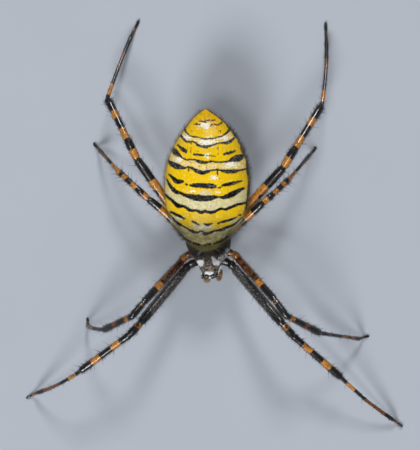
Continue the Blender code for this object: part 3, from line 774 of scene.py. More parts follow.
def bag_colour(finish):
    """Colour of the abdomen, from the marks that skin and hair both carry."""
    ragged = (finish.noise(4.5, 2) - 0.5) * 0.24 + (finish.noise(11.0, 2) - 0.5) * 0.34
    grain = finish.cells(7.0)
    line = finish.mark("line") + ragged
    side = finish.mark("flank")
    yellow = finish.mix(side.rises(0.15, 0.75), YELLOW, AMBER)
    worn = finish.noise(2.2, 4).rises(0.35, 0.75) * 0.35 + finish.mark("tail") * 0.45
    yellow = finish.mix(worn.at_most(0.9), yellow, AMBER)
    speck = grain.rises(0.42, 0.12) * finish.noise(3.0).rises(0.45, 0.65)
    yellow = finish.mix(speck * 0.07, yellow, PALE)
    tinge = (finish.noise(1.8, 3) + finish.mark("rear") * 0.30 + finish.mark("front") * 0.08
             + side * 0.20).rises(0.56, 0.80)
    pale = finish.mix(tinge * 0.85, CREAM, YELLOW)
    pale = finish.mix(finish.noise(3.0, 2).rises(0.40, 0.62) * 0.30, pale, PALE)
    cream = (finish.mark("cream") + (finish.noise(8.0) - 0.5) * 0.5).rises(0.35, 0.60)
    colour = finish.mix(cream, yellow, pale)
    # painted highlights: the glare patches turn pale
    white = finish.mark("white") + (finish.noise(5.5, 3).rises(0.35, 0.65) - 0.5) * 0.9
    colour = finish.mix(white.rises(0.40, 0.56) * 0.95, colour, PALE)
    crowd = finish.noise(1.5) + finish.mark("tail") * 0.38 + finish.mark("front") * 0.16
    flecks = finish.cells(2.8).rises(0.24, 0.13) * crowd.rises(0.52, 0.64)
    colour = finish.mix(flecks * 0.80, colour, OLIVE)
    seam = finish.mark("seam") * finish.noise(3.6, 3).rises(0.38, 0.60)
    colour = finish.mix(seam.rises(0.15, 0.60) * 0.75, colour, OLIVE)
    # painted shade: the front of the abdomen turns olive toward the head
    front_shade = (finish.mark("front") + (finish.noise(1.6, 4) - 0.5) * 0.25).rises(0.02, 0.75)
    colour = finish.mix(front_shade * 0.84, colour, OLIVE)
    clear = finish.noise(1.5, 3).rises(0.44, 0.70) * finish.mark("front") * (1 - finish.mark("shade"))
    colour = finish.mix(clear * 0.30, colour, CREAM)
    shade = (finish.mark("shade") + (finish.noise(1.8, 3) - 0.5) * 0.5).rises(0.1, 0.8)
    colour = finish.mix(shade * 0.85, colour, OLIVE)
    colour = finish.mix((finish.mark("brow") + ragged).rises(0.3, 0.7) * 0.85, colour, OLIVE)
    # painted shade: the front face of the abdomen, over the fore body, is dark
    colour = finish.mix((finish.mark("face") + ragged).rises(0.35, 0.65), colour, FACE_SHADE)
    below = (side + (finish.noise(1.6, 4) - 0.5) * 0.9).rises(0.38, 0.66)
    mottle = below * (1 - finish.cells(1.7, "SMOOTH_F1").rises(0.25, 0.55) * 0.85)
    colour = finish.mix(mottle * side.rises(0.28, 0.45), colour, BELLY)
    dirt = grain.rises(0.22, 0.08) * (finish.noise(1.8) + finish.mark("tail") * 0.22).rises(0.54, 0.66)
    colour = finish.mix(dirt * 0.8, colour, RUST)
    colour = finish.mix((finish.mark("spot") + ragged * 0.5).rises(0.05, -0.02), colour, RUST)
    stripe = (finish.mark("stripe") + ragged + (finish.noise(2.4, 3) - 0.5) * 0.7).rises(0.32, 0.62)
    striped = finish.mix(finish.noise(2.0, 3).rises(0.4, 0.7), YELLOW, CREAM)
    belly = finish.mix(stripe, BELLY, striped)
    belly = finish.mix(finish.noise(4.0).rises(0.60, 0.70) * 0.35, belly, CREAM)
    patchy = ragged + (finish.noise(1.4, 3) - 0.5) * PATCHINESS
    colour = finish.mix((finish.mark("belly") + patchy).rises(0.40, 0.62), colour, belly)
    # painted sheen: grey spots inside thick bands, the glint of fine pale hair
    inside_line = line.rises(-0.01, -0.10)
    sheen_spots = finish.noise(6.5, 2) + finish.mark("rear") * 0.10 - side * 0.10
    black = finish.mix(inside_line * sheen_spots.rises(0.60, 0.70) * 0.60, BLACK, PAINTED_SHEEN)
    return finish.mix(line.rises(0.025, -0.020), colour, black), line


HIDE_RELIEF = 0.020

hide = Finish("banded_hide", Specular_IOR_Level=0.10)
colour, line = bag_colour(hide)
hide.set(Base_Color=colour, Roughness=0.15 + hide.noise(3.0) * 0.15 + line.rises(0.0, -0.1) * 0.12)
hide.bump(hide.noise(9.0, 3) * 0.5 + hide.cells(14.0) * 0.35 + line.rises(0.05, -0.05) * -0.5,
          HIDE_RELIEF)

bag = Shape()
bag.tube(points, marks)
bag.make("abdomen_hide", hide, "abdomen_hide", ["abdomen"])

# %% [markdown]
# ## Abdomen: hair
# Short pale hairs stand on the whole abdomen and show best against the ground, at its
# outline. Each lies back toward the tail. They carry the same marks as the skin below,
# so a hair on yellow is yellowish and one on black is grey.

# %% Roots of hair
SEED = 7
rng = np.random.default_rng(SEED)


def scatter_on_grid(grid, normals, number, weight):
    """Random roots by area and weight on a closed tube of points."""
    side = np.roll(grid, -1, 1) - grid
    down = np.gradient(grid, axis=0)
    area = np.linalg.norm(np.cross(side, down), axis=-1) * weight
    pick = rng.choice(area.size, number, p=(area / area.sum()).ravel())
    row, column = np.divmod(pick, grid.shape[1])
    part_row, part_side = rng.random((2, number))
    roots = (grid[row, column] + side[row, column] * part_side[:, None]
             + down[row, column] * part_row[:, None] * 0.5)
    places = np.stack([(column + part_side) / grid.shape[1], (row + part_row * 0.5) / grid.shape[0]], -1)
    return roots, normals[row, column], places, row, column


def lay_flat(heading, outward):
    """Headings turned to lie in the skin."""
    return unit(heading - outward * (heading * outward).sum(-1, keepdims=True))


print("random draws start from", SEED)

# %% Abdomen coat
BAG_HAIRS = 9500
BAG_HAIR_LENGTH = (0.22, 0.64)
BAG_HAIR_RADIUS = (0.006, 0.010)
BAG_HAIR_RISE = (0.9, 2.2)
BAG_HAIR_DROP = -0.05
BAG_HAIR_STRAY = 0.35

crowd = 0.35 + held(marks["flank"] * 3)
roots, outward, places, row, column = scatter_on_grid(points, bag_normals, BAG_HAIRS, crowd)
tailward = np.tile(np.append(bag_back[:2], BAG_HAIR_DROP), (BAG_HAIRS, 1))
tailward = tailward + rng.normal(0, BAG_HAIR_STRAY, (BAG_HAIRS, 3))
lengths = rng.uniform(*BAG_HAIR_LENGTH, BAG_HAIRS)
radii = rng.uniform(*BAG_HAIR_RADIUS, BAG_HAIRS)
coat = Shape()
coat.spikes(roots, outward, lay_flat(tailward, outward), lengths, radii, places,
            {name: values[row, column] for name, values in marks.items()},
            rise=rng.uniform(*BAG_HAIR_RISE, BAG_HAIRS))

fuzz = Finish("hide_hair", Roughness=0.55, Specular_IOR_Level=0.2)
under_hair, black_line = bag_colour(fuzz)
outline = fuzz.mix(fuzz.mark("flank").rises(0.18, 0.40), HAIR_PALE, HAIR_DARK)
on_flank = fuzz.mark("flank").rises(0.18, 0.40)
hair_share = 0.04 + fuzz.mark("tip") * 0.14
hair_share = hair_share * (0.25 + 0.75 * black_line.rises(-0.04, 0.04)) + on_flank * 0.55
fuzz.set(Base_Color=fuzz.mix(hair_share, under_hair, outline))
coat.make("abdomen_hair", fuzz, "abdomen_hide")

# %% [markdown]
# ## Legs: centre lines
# A leg is seven tubes hinged end to end. On the model it is one skin, so that no cut
# shows at a joint. Its centre line comes from the CAD solids: the middle of each cap
# and of a few cuts between them, run through with one smooth curve.

# %% Leg lines
SEGMENTS = ("coxa", "femur", "patella", "tibia", "foot")
TARSUS_SHARE = {("left", 1): .153, ("left", 2): .176, ("left", 3): .232, ("left", 4): .218,
                ("right", 1): .190, ("right", 2): .205, ("right", 3): .229, ("right", 4): .204}
RING_STEP = 0.085
CAP_ROOM = 0.75
CAP_FACING = 0.70
CUT_SHARES = (.12, .30, .50, .70, .88)
FOOT_CUT_SHARES = (.06, .15, .3, .45, .6, .72, .80, .86, .92)


def cap_middle(name, axis, sign):
    """Middle of the flat end of a segment that faces along its axis."""
    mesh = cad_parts[name].data
    points = node_points(name)
    reach = (points @ axis * sign).max() - CAP_ROOM
    caps = [face for face in mesh.polygons if np.dot(face.normal, axis) * sign > CAP_FACING]
    corners = [tuple(v) for face in caps
               for v in points[list(face.vertices)].round(4) if v @ axis * sign > reach]
    return np.array(sorted(set(corners))).mean(0)


def segment_line(name, towards, shares, toe):
    """Middles of the cuts across one segment, from cap to cap or to the toe."""
    points = node_points(name)
    centred = points - points.mean(0)
    axis = np.linalg.svd(centred, full_matrices=False)[2][0]
    if axis @ (towards - points.mean(0)) < 0:
        axis = -axis
    start = cap_middle(name, axis, -1)
    end = points[(points @ axis).argmax()] if toe else cap_middle(name, axis, 1)
    axis = unit(end - start)
    found = [(0.0, start, 0.0)]
    for share in shares:
        crossing = cut(name, start + (end - start) * share, axis)
        middle = (crossing.max(0) + crossing.min(0)) / 2 if toe else crossing.mean(0)
        found.append((share, middle, np.linalg.norm(crossing - middle, axis=1).max()))
    found.append((1.0, end, 0.0))
    return found


def leg_line(side, pair):
    """Centre line of a leg: places, segment number with share, and CAD half thickness."""
    names = [f"{side}_leg_{pair}_{part}" for part in SEGMENTS]
    middles = [node_points(name).mean(0) for name in names]
    places, numbers, halves = [], [], []
    for i, name in enumerate(names):
        toe = i == len(names) - 1
        towards = middles[i + 1] if not toe else 2 * middles[i] - middles[i - 1]
        line = segment_line(name, towards, FOOT_CUT_SHARES if toe else CUT_SHARES, toe)
        if places:
            places[-1] = (places[-1] + line[0][1]) / 2
            line = line[1:]
        for share, middle, half in line:
            places.append(middle)
            numbers.append(i + share)
            halves.append(half)
    places, numbers, halves = np.array(places), np.array(numbers), np.array(halves)
    known = halves > 0
    run = np.concatenate([[0], np.cumsum(np.linalg.norm(np.diff(places, axis=0), axis=1))])
    halves = np.interp(run, run[known], halves[known])
    at = np.linspace(0, run[-1], int(run[-1] / RING_STEP))
    return smooth_through(at, run, places), np.interp(at, run, numbers), at, np.interp(at, run, halves)


LEGS = [(side, pair) for side in ("left", "right") for pair in (1, 2, 3, 4)]
lines = {leg: leg_line(*leg) for leg in LEGS}
print("leg lengths:", {f"{side} {pair}": round(lines[side, pair][2][-1], 1) for side, pair in LEGS})

# %% [markdown]
# ## Legs: skin
# Each segment swells a little near its ends, and the skin draws in at each hinge, most
# on the under side, where the folded membrane is. The metatarsi and tarsi are thinner
# than the solids, which keep a half-millimetre foot. Rings are square to the line, so
# the angle round a ring is always known: a quarter turn is the top.

# %% Leg rings
FOOT = 4
TOE = 5
FOOT_BLEND = (3.97, 0.05)
LEG_SIDES = 28
SHELL_SHARE = 0.94
METATARSUS_HALF = {1: 0.205, 2: 0.200, 3: 0.200, 4: 0.215}
TARSUS_HALF = {1: 0.160, 2: 0.160, 3: 0.170, 4: 0.170}
HINGES = ((0.66, .10, .12), (1.0, .20, .13), (2.0, .26, .15), (3.0, .16, .12), (4.0, .26, .15))
ANKLE_DEPTH = .24
ANKLE_WIDTH = .10
DEEPEST_FOLD = 0.26
SWELL = 0.05
SWELL_AT = (0.34, -0.30)
SWELL_WIDTH = 0.20
FACETS = 5
FACET_DEPTH = 0.010
TIP_DRAW = ((0.0, 0.05, 0.16), (0.35, 0.75, 1.0))
LOWEST_SKIN = 0.004


def leg_skin(side, pair):
    """Rings of one leg, and the frame each ring was drawn in."""
    places, numbers, run, halves = lines[side, pair]
    tangent = unit(np.gradient(places, axis=0))
    across = unit(np.cross(tangent, UP))
    lift = np.cross(across, tangent)
    ankle = TOE - TARSUS_SHARE[side, pair]
    in_foot = held((numbers - FOOT) / (ankle - FOOT))
    in_tarsus = held((numbers - ankle) / (TOE - ankle))
    foot = METATARSUS_HALF[pair] * (1.10 - 0.22 * hump(in_foot - 0.45, 0.35))
    foot = np.where(in_tarsus > 0, TARSUS_HALF[pair] * (1.0 - 0.22 * in_tarsus), foot)
    radius = halves * SHELL_SHARE
    blend = held((numbers - FOOT_BLEND[0]) / FOOT_BLEND[1])
    radius = radius * (1 - blend) + foot * blend
    draw = np.zeros_like(radius)
    swell = np.zeros_like(radius)
    for number, depth, width in (*HINGES, (ankle, ANKLE_DEPTH, ANKLE_WIDTH)):
        gap = run - np.interp(number, numbers, run)
        draw += depth * hump(gap, width)
        swell += SWELL * sum(hump(gap - at, SWELL_WIDTH) for at in SWELL_AT)
    radius = radius * (1 + swell)
    radius *= np.interp(run[-1] - run, *TIP_DRAW)
    angle = 2 * math.pi * np.arange(LEG_SIDES) / LEG_SIDES
    spoke = across[:, None] * np.cos(angle)[None, :, None] + lift[:, None] * np.sin(angle)[None, :, None]
    fold = 1 - draw[:, None] * (0.75 - 0.45 * np.sin(angle)[None])
    ridge = 1 + FACET_DEPTH * np.cos(FACETS * angle)[None]
    reach = radius[:, None] * fold * ridge
    rings = places[:, None] + spoke * reach[..., None]
    rings[..., 2] = np.maximum(rings[..., 2], LOWEST_SKIN)
    return {"rings": rings, "places": places, "numbers": numbers, "run": run, "radius": radius,
            "tangent": tangent, "across": across, "lift": lift, "angle": angle, "draw": draw,
            "ankle": ankle}


skins = {leg: leg_skin(*leg) for leg in LEGS}
print("rings on a leg:", [len(skins[leg]["run"]) for leg in LEGS])

# %% [markdown]
# ## Legs: bands
# The legs are banded black and orange, duller red toward the toe, and each pair has its
# own scheme: the first is nearly black to the knee, the others have rusty femora. A
# scheme is a row of spans along the leg: from where, to where, and a tone that says how
# orange, how red and how frosted. The foot is given in two steps, since the share of
# its last part differs from leg to leg.

# %% Band schemes
# each tone: how orange, how red, how frosted
INKY = (0.0, 0.0, 0.0)
ORANGE = (1.0, 0.0, 0.0)
BROWN = (0.62, 0.62, 0.05)
RED = (0.85, 1.0, 0.0)
DULL = (0.55, 0.8, 0.0)
FROST = (0.06, 0.0, 0.85)
SMUDGE = (0.30, 0.2, 0.1)
DULL_ORANGE = (0.55, 0.35, 0.0)
RUSTY = (0.56, 1.0, 0.05)
SOOT = (0.44, 0.8, 0.1)
RUST_BAND = (0.60, 0.25, 0.0)
DULL_RED = (0.56, 1.0, 0.0)

TAWNY = (0.85, 0.2, 0.05)

SCHEMES = {
    1: ((0, .95, INKY), (1.04, 1.78, FROST), (1.86, 2.02, INKY), (2.06, 2.30, DULL_ORANGE),
        (2.42, 2.42, SMUDGE), (2.55, 3.18, INKY), (3.20, 3.35, ORANGE), (3.37, 3.57, INKY),
        (3.59, 3.74, ORANGE), (3.76, 3.76, INKY)),
    2: ((0, .62, RUSTY), (.70, .90, BROWN), (.97, 1.03, RED), (1.06, 1.40, RUSTY),
        (1.45, 1.56, SOOT), (1.60, 1.69, ORANGE), (1.72, 2.08, INKY), (2.13, 2.22, DULL_ORANGE),
        (2.32, 3.08, INKY), (3.10, 3.21, RUST_BAND), (3.24, 3.45, INKY), (3.48, 3.64, DULL_RED),
        (3.67, 3.67, INKY)),
    3: ((0, .95, BROWN), (1.02, 1.10, SMUDGE), (1.14, 1.34, BROWN), (1.40, 1.48, SMUDGE),
        (1.54, 1.70, ORANGE), (1.74, 2.03, INKY), (2.08, 2.46, ORANGE), (2.54, 3.02, INKY),
        (3.04, 3.24, ORANGE), (3.27, 3.49, INKY), (3.52, 3.67, ORANGE), (3.70, 3.70, INKY)),
    4: ((0, .95, BROWN), (1.03, 1.03, TAWNY), (1.68, 1.68, ORANGE), (1.72, 2.02, INKY),
        (2.06, 2.48, ORANGE), (2.56, 3.01, INKY), (3.03, 3.24, ORANGE), (3.27, 3.49, INKY),
        (3.51, 3.66, ORANGE), (3.69, 3.69, INKY)),
}
METATARSUS_SCHEMES = {
    1: ((0, .07, INKY), (.09, .23, ORANGE), (.26, .43, INKY), (.46, .81, RED), (.85, .85, INKY)),
    2: ((0, .10, INKY), (.12, .22, SOOT), (.25, .45, INKY), (.50, .84, DULL), (.89, .89, INKY)),
    3: ((0, .23, ORANGE), (.27, .43, INKY), (.48, .78, DULL), (.83, .83, INKY)),
    4: ((0, .03, INKY), (.05, .20, ORANGE), (.23, .42, INKY), (.45, .70, DULL), (.73, .73, INKY)),
}
TARSUS_SCHEME = ((.06, .06, INKY), (.12, .55, DULL), (.72, 1.0, INKY))


def span_marks(spans, start, length):
    """Marks at both ends of each span, moved to their own part of the leg."""
    marks = []
    for low, high, tone in spans:
        ends = (low,) if low == high else (low, high)
        marks += [(start + at * length, tone) for at in ends]
    return marks


def leg_marks(side, pair, numbers, ankle):
    """Orange, red and frost at places along one leg."""
    scheme = span_marks(SCHEMES[pair], 0, 1)
    scheme += span_marks(METATARSUS_SCHEMES[pair], FOOT, ankle - FOOT)
    scheme += span_marks(TARSUS_SCHEME, ankle, TOE - ankle)
    where = [at for at, tone in scheme]
    return {name: np.interp(numbers, where, [tone[k] for at, tone in scheme])
            for k, name in enumerate(("orange", "red", "frost"))}


print("spans above the foot:", {pair: len(scheme) for pair, scheme in SCHEMES.items()})

# %% [markdown]
# ## Legs: finish
# Leg skin is hard and glossy, so long streaks of light run down it. The orange is a
# stain in a clear shell with a darker mottle; the black is brown-black, not ink. The
# first femora have a grey bloom of the finest hair, which is paint here, with real hair
# only where it stands up. The membrane at a hinge is pale. Light and shade are painted
# too: the top of a leg paler, its sides and under side darker, a grey sheen on top of the
# black, and a pale glint on top of the first two knees.

# %% Leg finish
LEG_ORANGE = (0.34, 0.100, 0.008)
LEG_AMBER = (0.60, 0.250, 0.030)
LEG_RED = (0.15, 0.040, 0.012)
LEG_DARK_RED = (0.050, 0.014, 0.007)
LEG_BLACK = (0.0045, 0.0038, 0.0036)
LEG_GREY = (0.062, 0.058, 0.054)
LEG_ASH = (0.30, 0.29, 0.28)
MEMBRANE_AND_GLINT = (0.40, 0.36, 0.33)
LEG_BROWN_BLACK = (0.035, 0.022, 0.015)
BLOOM_BROWN = (0.070, 0.038, 0.018)
SHELL_RELIEF = 0.020
KNEE_GLINT = (2.045, 0.022)
FEMUR_SPOT = (1.54, 0.040)
LAST_FOLD = 4.5


def leg_colour(finish):
    """Colour of a leg from the marks that skin, hair and spines carry."""
    blotch = finish.noise(2.2, 4)
    ridge = finish.mark("ridge")
    # painted light: the top of a leg leans to the paler amber
    stain = finish.mix((blotch + ridge * 0.30 - 0.15).rises(0.34, 0.66), LEG_ORANGE, LEG_AMBER)
    stain = finish.mix(finish.mark("red") * 0.85, stain, LEG_RED)
    stain = finish.mix(finish.cells(4.5).rises(0.34, 0.16) * 0.65, stain, LEG_DARK_RED)
    specks = finish.noise(6.0, 2).rises(0.53, 0.62) * (0.45 + finish.mark("red") * 0.4)
    stain = finish.mix(specks, stain, LEG_BLACK)
    # painted shade: the sides and under side are darker, and the under side a darker brown
    stain = finish.mix(ridge.rises(0.62, 0.05) * 0.72, stain, LEG_DARK_RED)
    wavy = (finish.noise(5.0, 2) - 0.5) * 0.8 + (blotch - 0.5) * 0.8
    edge = (finish.mark("orange") + wavy - ridge * 0.10).rises(0.34, 0.56)
    dark = finish.mix(finish.noise(6.0).rises(0.5, 0.8) * 0.5, LEG_BLACK, LEG_BROWN_BLACK)
    # painted sheen: grey wisps on the top of the black parts
    wisps = finish.noise(5.0, 2, stretch=(1.0, 0.6, 1.0)).rises(0.56, 0.68)
    dark = finish.mix(wisps * ridge.rises(-0.1, 0.8) * 0.6, dark, LEG_GREY)
    bloom = finish.mark("frost") * finish.noise(7.0, 2).rises(0.38, 0.56)
    bloom = bloom * (ridge * 0.8 + 0.6).rises(0.0, 0.9)
    grain = finish.mix(finish.noise(4.0, 3).rises(0.52, 0.66), LEG_GREY, BLOOM_BROWN)
    grain = finish.mix(finish.noise(6.5, 2).rises(0.54, 0.62), grain, LEG_ASH)
    dark = finish.mix(bloom.at_most(0.85), dark, grain)
    colour = finish.mix(edge, dark, stain)
    # fold: the pale hinge membrane, and the painted knee glint
    return finish.mix(finish.mark("fold").rises(0.40, 0.95), colour, MEMBRANE_AND_GLINT), edge


leg_shell = Finish("leg_shell", Specular_IOR_Level=0.40, Coat_Weight=0.70, Coat_Roughness=0.08)
colour, edge = leg_colour(leg_shell)
leg_shell.set(Base_Color=colour,
              Roughness=0.24 + leg_shell.noise(8.0) * 0.14 + leg_shell.mark("frost") * 0.10)
leg_shell.bump(leg_shell.noise(7.0, 3) * 0.7 + leg_shell.cells(10.0) * 0.3, SHELL_RELIEF)
print("leg finish:", len(leg_shell.tree.nodes), "nodes")

# %% Leg skins
for side, pair in LEGS:
    skin = skins[side, pair]
    skin["marks"] = leg_marks(side, pair, skin["numbers"], skin["ankle"])
    under_side = 0.5 - 0.5 * np.sin(skin["angle"])[None]
    fold = held(skin["draw"] / DEEPEST_FOLD)[:, None] * (0.35 + 0.65 * under_side)
    numbers = skin["numbers"][:, None]
    marks = {name: values[:, None] for name, values in skin["marks"].items()}
    marks["fold"] = fold * (numbers < LAST_FOLD)
    # ridge: 1 on top, 0 at the sides, -1 below; the finish paints light and shade by it
    marks["ridge"] = np.sin(skin["angle"])[None]
    # painted highlight: a pale glint on top of the first two knees, drawn in the membrane colour
    if pair in (1, 2):
        glint = hump((numbers - KNEE_GLINT[0]) / KNEE_GLINT[1], 1) * held(marks["ridge"] * 5 - 4)
        marks["fold"] = marks["fold"] + glint
    if pair == 4:
        outer = np.cos(skin["angle"])[None] * (-1 if side == "left" else 1)
        spot = hump((numbers - FEMUR_SPOT[0]) / FEMUR_SPOT[1], 1) * held(-outer + 0.2)
        marks["orange"] = marks["orange"] * (1 - held(spot * 1.3))
    shape = Shape()
    shape.tube(skin["rings"], marks)
    shape.make(f"{side}_leg_{pair}", leg_shell, "leg_shell",
               [f"{side}_leg_{pair}_{part}" for part in SEGMENTS])

# %% [markdown]
# ## Legs: hair, spines and claws
# Three kinds stand on a leg: fine hairs all round that lie toward the toe, stiff black
# spines in rows along it, and at the toe three claws. Hair is longest on the black
# parts past the knee. A spine is the same spike with more sides.

# %% Leg hairs
HAIRS_PER_MM = 88
BARE_HIP = 0.35
BARE_START = 0.12
BARE_ENDS = 0.25
LEG_HAIR_LENGTH = (0.16, 0.38)
LEG_HAIR_RADIUS = (0.009, 0.014)
LEG_HAIR_RISE = (0.45, 1.5)
SPINE_LENGTH = (0.65, 1.10)
SPINE_RADIUS = (.018, .024)
SPINE_RISE = (1.0, 1.9)
SPINES_LOST = 0.22
HORN_SIDES = 6
SPINES = (
    # segment, shares along it, angles round it in degrees
    (1, (.22, .42, .60, .78, .93), (55, 125, 20, 160)),
    (2, (.35, .85), (90,)),
    (3, (.14, .34, .55, .74, .92), (60, 120, 5, 175, -50, -130)),
    (4, (.06, .20, .36, .54), (70, 110, -20, -160)),
)


LEG_HAIR_DARK = (0.020, 0.017, 0.015)
HORN_BLACK = (0.020, 0.017, 0.016)
HORN_BROWN = (0.14, 0.10, 0.08)


def on_leg(skin, run, angle):
    """Roots, outward directions, headings and ring numbers for places on a leg."""
    i = np.clip(np.searchsorted(skin["run"], run), 0, len(skin["run"]) - 1)
    outward = skin["across"][i] * np.cos(angle)[:, None] + skin["lift"][i] * np.sin(angle)[:, None]
    radius = skin["radius"][i] * (1 - skin["draw"][i] * 0.6)
    roots = skin["places"][i] + outward * radius[:, None]
    return roots, outward, skin["tangent"][i], i


def leg_places(number, run, angle, skin):
    """Place on the flat map: each leg of a side has a quarter of its height."""
    return np.stack([angle / (2 * math.pi) % 1, (number % 4 + run / skin["run"][-1]) / 4], -1)


for side in ("left", "right"):
    coat, armour = Shape(), Shape()
    for number, leg in enumerate(LEGS):
        if leg[0] != side:
            continue
        skin = skins[leg]
        length = skin["run"][-1]
        count = int(length * HAIRS_PER_MM)
        run = rng.random(count) * (length - BARE_ENDS) + BARE_START
        run = run[skin["numbers"][np.searchsorted(skin["run"], run)] > BARE_HIP]
        count = len(run)
        angle = rng.random(count) * 2 * math.pi
        roots, outward, heading, i = on_leg(skin, run, angle)
        marks = {name: values[i] for name, values in skin["marks"].items()}
        thin = np.clip(skin["radius"][i] / 0.45, 0.45, 1.0)
        bushy = 1 + 0.45 * (1 - marks["orange"]) * (skin["numbers"][i] > 2.0)
        marks["ridge"] = np.sin(angle)
        lengths = rng.uniform(*LEG_HAIR_LENGTH, count) * thin * bushy
        coat.spikes(roots, outward, unit(heading + rng.normal(0, 0.18, (count, 3))), lengths,
                    rng.uniform(*LEG_HAIR_RADIUS, count), leg_places(number, run, angle, skin), marks,
                    rise=rng.uniform(*LEG_HAIR_RISE, count), droop=0.10)
        for segment, shares, angles in SPINES:
            for share in shares:
                for degrees in angles:
                    if rng.random() < SPINES_LOST:
                        continue
                    at = segment + share + rng.normal(0, 0.02)
                    run = np.array([np.interp(at, skin["numbers"], skin["run"])])
                    angle = np.array([math.radians(degrees + rng.normal(0, 9))])
                    roots, outward, heading, i = on_leg(skin, run, angle)
                    size = rng.uniform(*SPINE_LENGTH) * (0.8 if segment in (2, 4) else 1.0)
                    armour.spikes(roots, outward, heading, np.array([size]),
                                  np.array([rng.uniform(*SPINE_RADIUS)]),
                                  leg_places(number, run, angle, skin),
                                  rise=rng.uniform(*SPINE_RISE, 1), droop=0.05, sides=HORN_SIDES)
    hair = Finish(f"{side}_leg_hair", Roughness=0.42, Specular_IOR_Level=0.3)
    tint, edge = leg_colour(hair)
    hair.set(Base_Color=hair.mix(0.35 + hair.mark("tip") * 0.30, tint, LEG_HAIR_DARK))
    coat.make(f"{side}_leg_coat", hair, "leg_shell")
    horn = Finish(f"{side}_spine_horn", Roughness=0.30)
    horn.set(Base_Color=horn.mix(horn.mark("tip") * horn.noise(3.0), HORN_BLACK, HORN_BROWN))
    armour.make(f"{side}_leg_spines", horn, "leg_shell")

# %% Claws
CLAW_LENGTH = 0.13
CLAW_RADIUS = 0.022
CLAW_SINK = 0.06
CLAW_ROOT = (0.055, 0.020, 0.010)
CLAW_TIP = (0.008, 0.006, 0.005)

claws = Shape()
for number, leg in enumerate(LEGS):
    skin = skins[leg]
    end = skin["places"][-1]
    ahead, across = skin["tangent"][-3], skin["across"][-3]
    for turn in (-0.5, 0.5, 0.0):
        root = end - ahead * CLAW_SINK + across * turn * 0.10
        place = np.array([[0.1 + number * 0.1, 0.5 + turn * 0.5]])
        claws.spikes(root[None], UP[None], unit(ahead + across * turn * 0.6)[None],
                     np.array([CLAW_LENGTH]), np.array([CLAW_RADIUS]), place,
                     rise=0.15, droop=0.55, sides=HORN_SIDES)
claw_horn = Finish("claw_horn", Roughness=0.24)
claw_horn.set(Base_Color=claw_horn.mix(claw_horn.mark("tip"), CLAW_ROOT, CLAW_TIP))
claws.make("toe_claws", claw_horn, "claw_horn")

# %% [markdown]
# ## Fore body: frame
# Everything on the fore body is placed out from its midline, forward of its middle and
# above the floor. That frame is read off the two front middle eyes of the CAD model,
# which stand on both sides of the midline.

# %% Fore body frame
EYE_AHEAD = 3.44


def eye_ball(eye, side):
    """Centre and radius of an eye solid in millimetres."""
    low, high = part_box(f"eye_{eye}_{side}")
    return np.array((low + high) / 2) / MM, (high - low).z / 2 / MM


left_eye = eye_ball("front_middle", "left")[0]
right_eye = eye_ball("front_middle", "right")[0]
face_out = unit((left_eye - right_eye) * (1, 1, 0))
face_ahead = np.array([face_out[1], -face_out[0], 0.0])
BEND = np.array(((-3.0, 0.0), (-0.9, 0.04), (0.0, 0.08), (0.8, 0.13), (1.6, 0.17), (2.2, 0.13),
                 (2.8, 0.04), (3.2, -0.02), (3.5, -0.03)))


def bend(ahead):
    """How far the shield's middle line swings to the left there."""
    return np.interp(ahead, BEND[:, 0], BEND[:, 1])


between_eyes = (left_eye + right_eye) / 2
face_middle = (between_eyes - face_ahead * EYE_AHEAD - face_out * bend(EYE_AHEAD)) * (1, 1, 0)


def at_face(out, ahead, height):
    """Points of the fore body from out, ahead and height."""
    out, ahead, height = np.broadcast_arrays(out, ahead, height)
    return (face_middle + out[..., None] * face_out + ahead[..., None] * face_ahead
            + height[..., None] * UP)


print("fore body middle:", face_middle.round(3), "ahead:", face_ahead.round(3))

# %% [markdown]
# ## Fore body: shield
# The carapace is one plate: a low dome that narrows to the head, with a pit at its
# middle, grooves that run from it to the legs, and a V that marks off the head. The
# skin runs over the dome, turns in under its rim and closes below as the soft side
# wall that the legs grow from. It swells round each eye.

# %% Carapace stations
CARAPACE = np.array((
    (-3.00, 0.30, 4.98), (-2.85, 1.08, 5.16), (-2.40, 1.88, 5.42), (-1.70, 2.40, 5.84),
    (-0.90, 2.56, 6.16), (0.00, 2.41, 6.28), (0.80, 2.08, 6.32), (1.25, 1.77, 6.38),
    (1.70, 1.45, 6.46), (2.20, 1.25, 6.51), (2.80, 1.05, 6.45), (3.18, 0.90, 6.22),
    (3.40, 0.72, 5.98)))
SHIELD_ROWS = 164
FACE_ROWS = 26
DOME_SIDES = 90
WALL_SIDES = 40
DOME_SHARPNESS = 0.94
DOME_END = 3.14
FACE_FROM = 3.16
FACE_TO = 3.40
RIM_HEIGHT = 4.74
FACE_CENTRE = 5.3
FLAT_TOP_FROM = 4.95
PIT_AHEAD = -0.55
PIT_PLACE = (0, PIT_AHEAD, 0.34, 0.16)
SHIELD_PIT_DEPTH = 0.17
HEAD_GROOVE = ((0.10, -0.30), (1.75, 1.25))
HEAD_GROOVE_DEPTH = 0.10
HEAD_GROOVE_WIDTH = 0.17
LEG_GROOVE_ENDS = ((2.4, 0.55), (2.7, -0.55), (2.3, -1.60), (1.2, -2.5))
LEG_GROOVE_DEPTH = 0.065
LEG_GROOVE_WIDTH = 0.16
EYE_SWELL = 0.055
SIDE_KNOB = 0.075
EYE_NAMES = ("front_middle", "rear_middle", "front_side", "rear_side")

eyes = [(eye, side, *eye_ball(eye, side)) for eye in EYE_NAMES for side in ("left", "right")]


def groove(out, ahead, start, end, width):
    """1 at the start of a line, half at its end, fading over its width; mirrored."""
    start, end = np.array(start), np.array(end)
    run = end - start
    t = held(((abs(out) - start[0]) * run[0] + (ahead - start[1]) * run[1]) / (run @ run))
    gap = np.hypot(abs(out) - start[0] - t * run[0], ahead - start[1] - t * run[1])
    return hump(gap, width) * (1 - 0.5 * t)


print("eyes:", len(eyes))

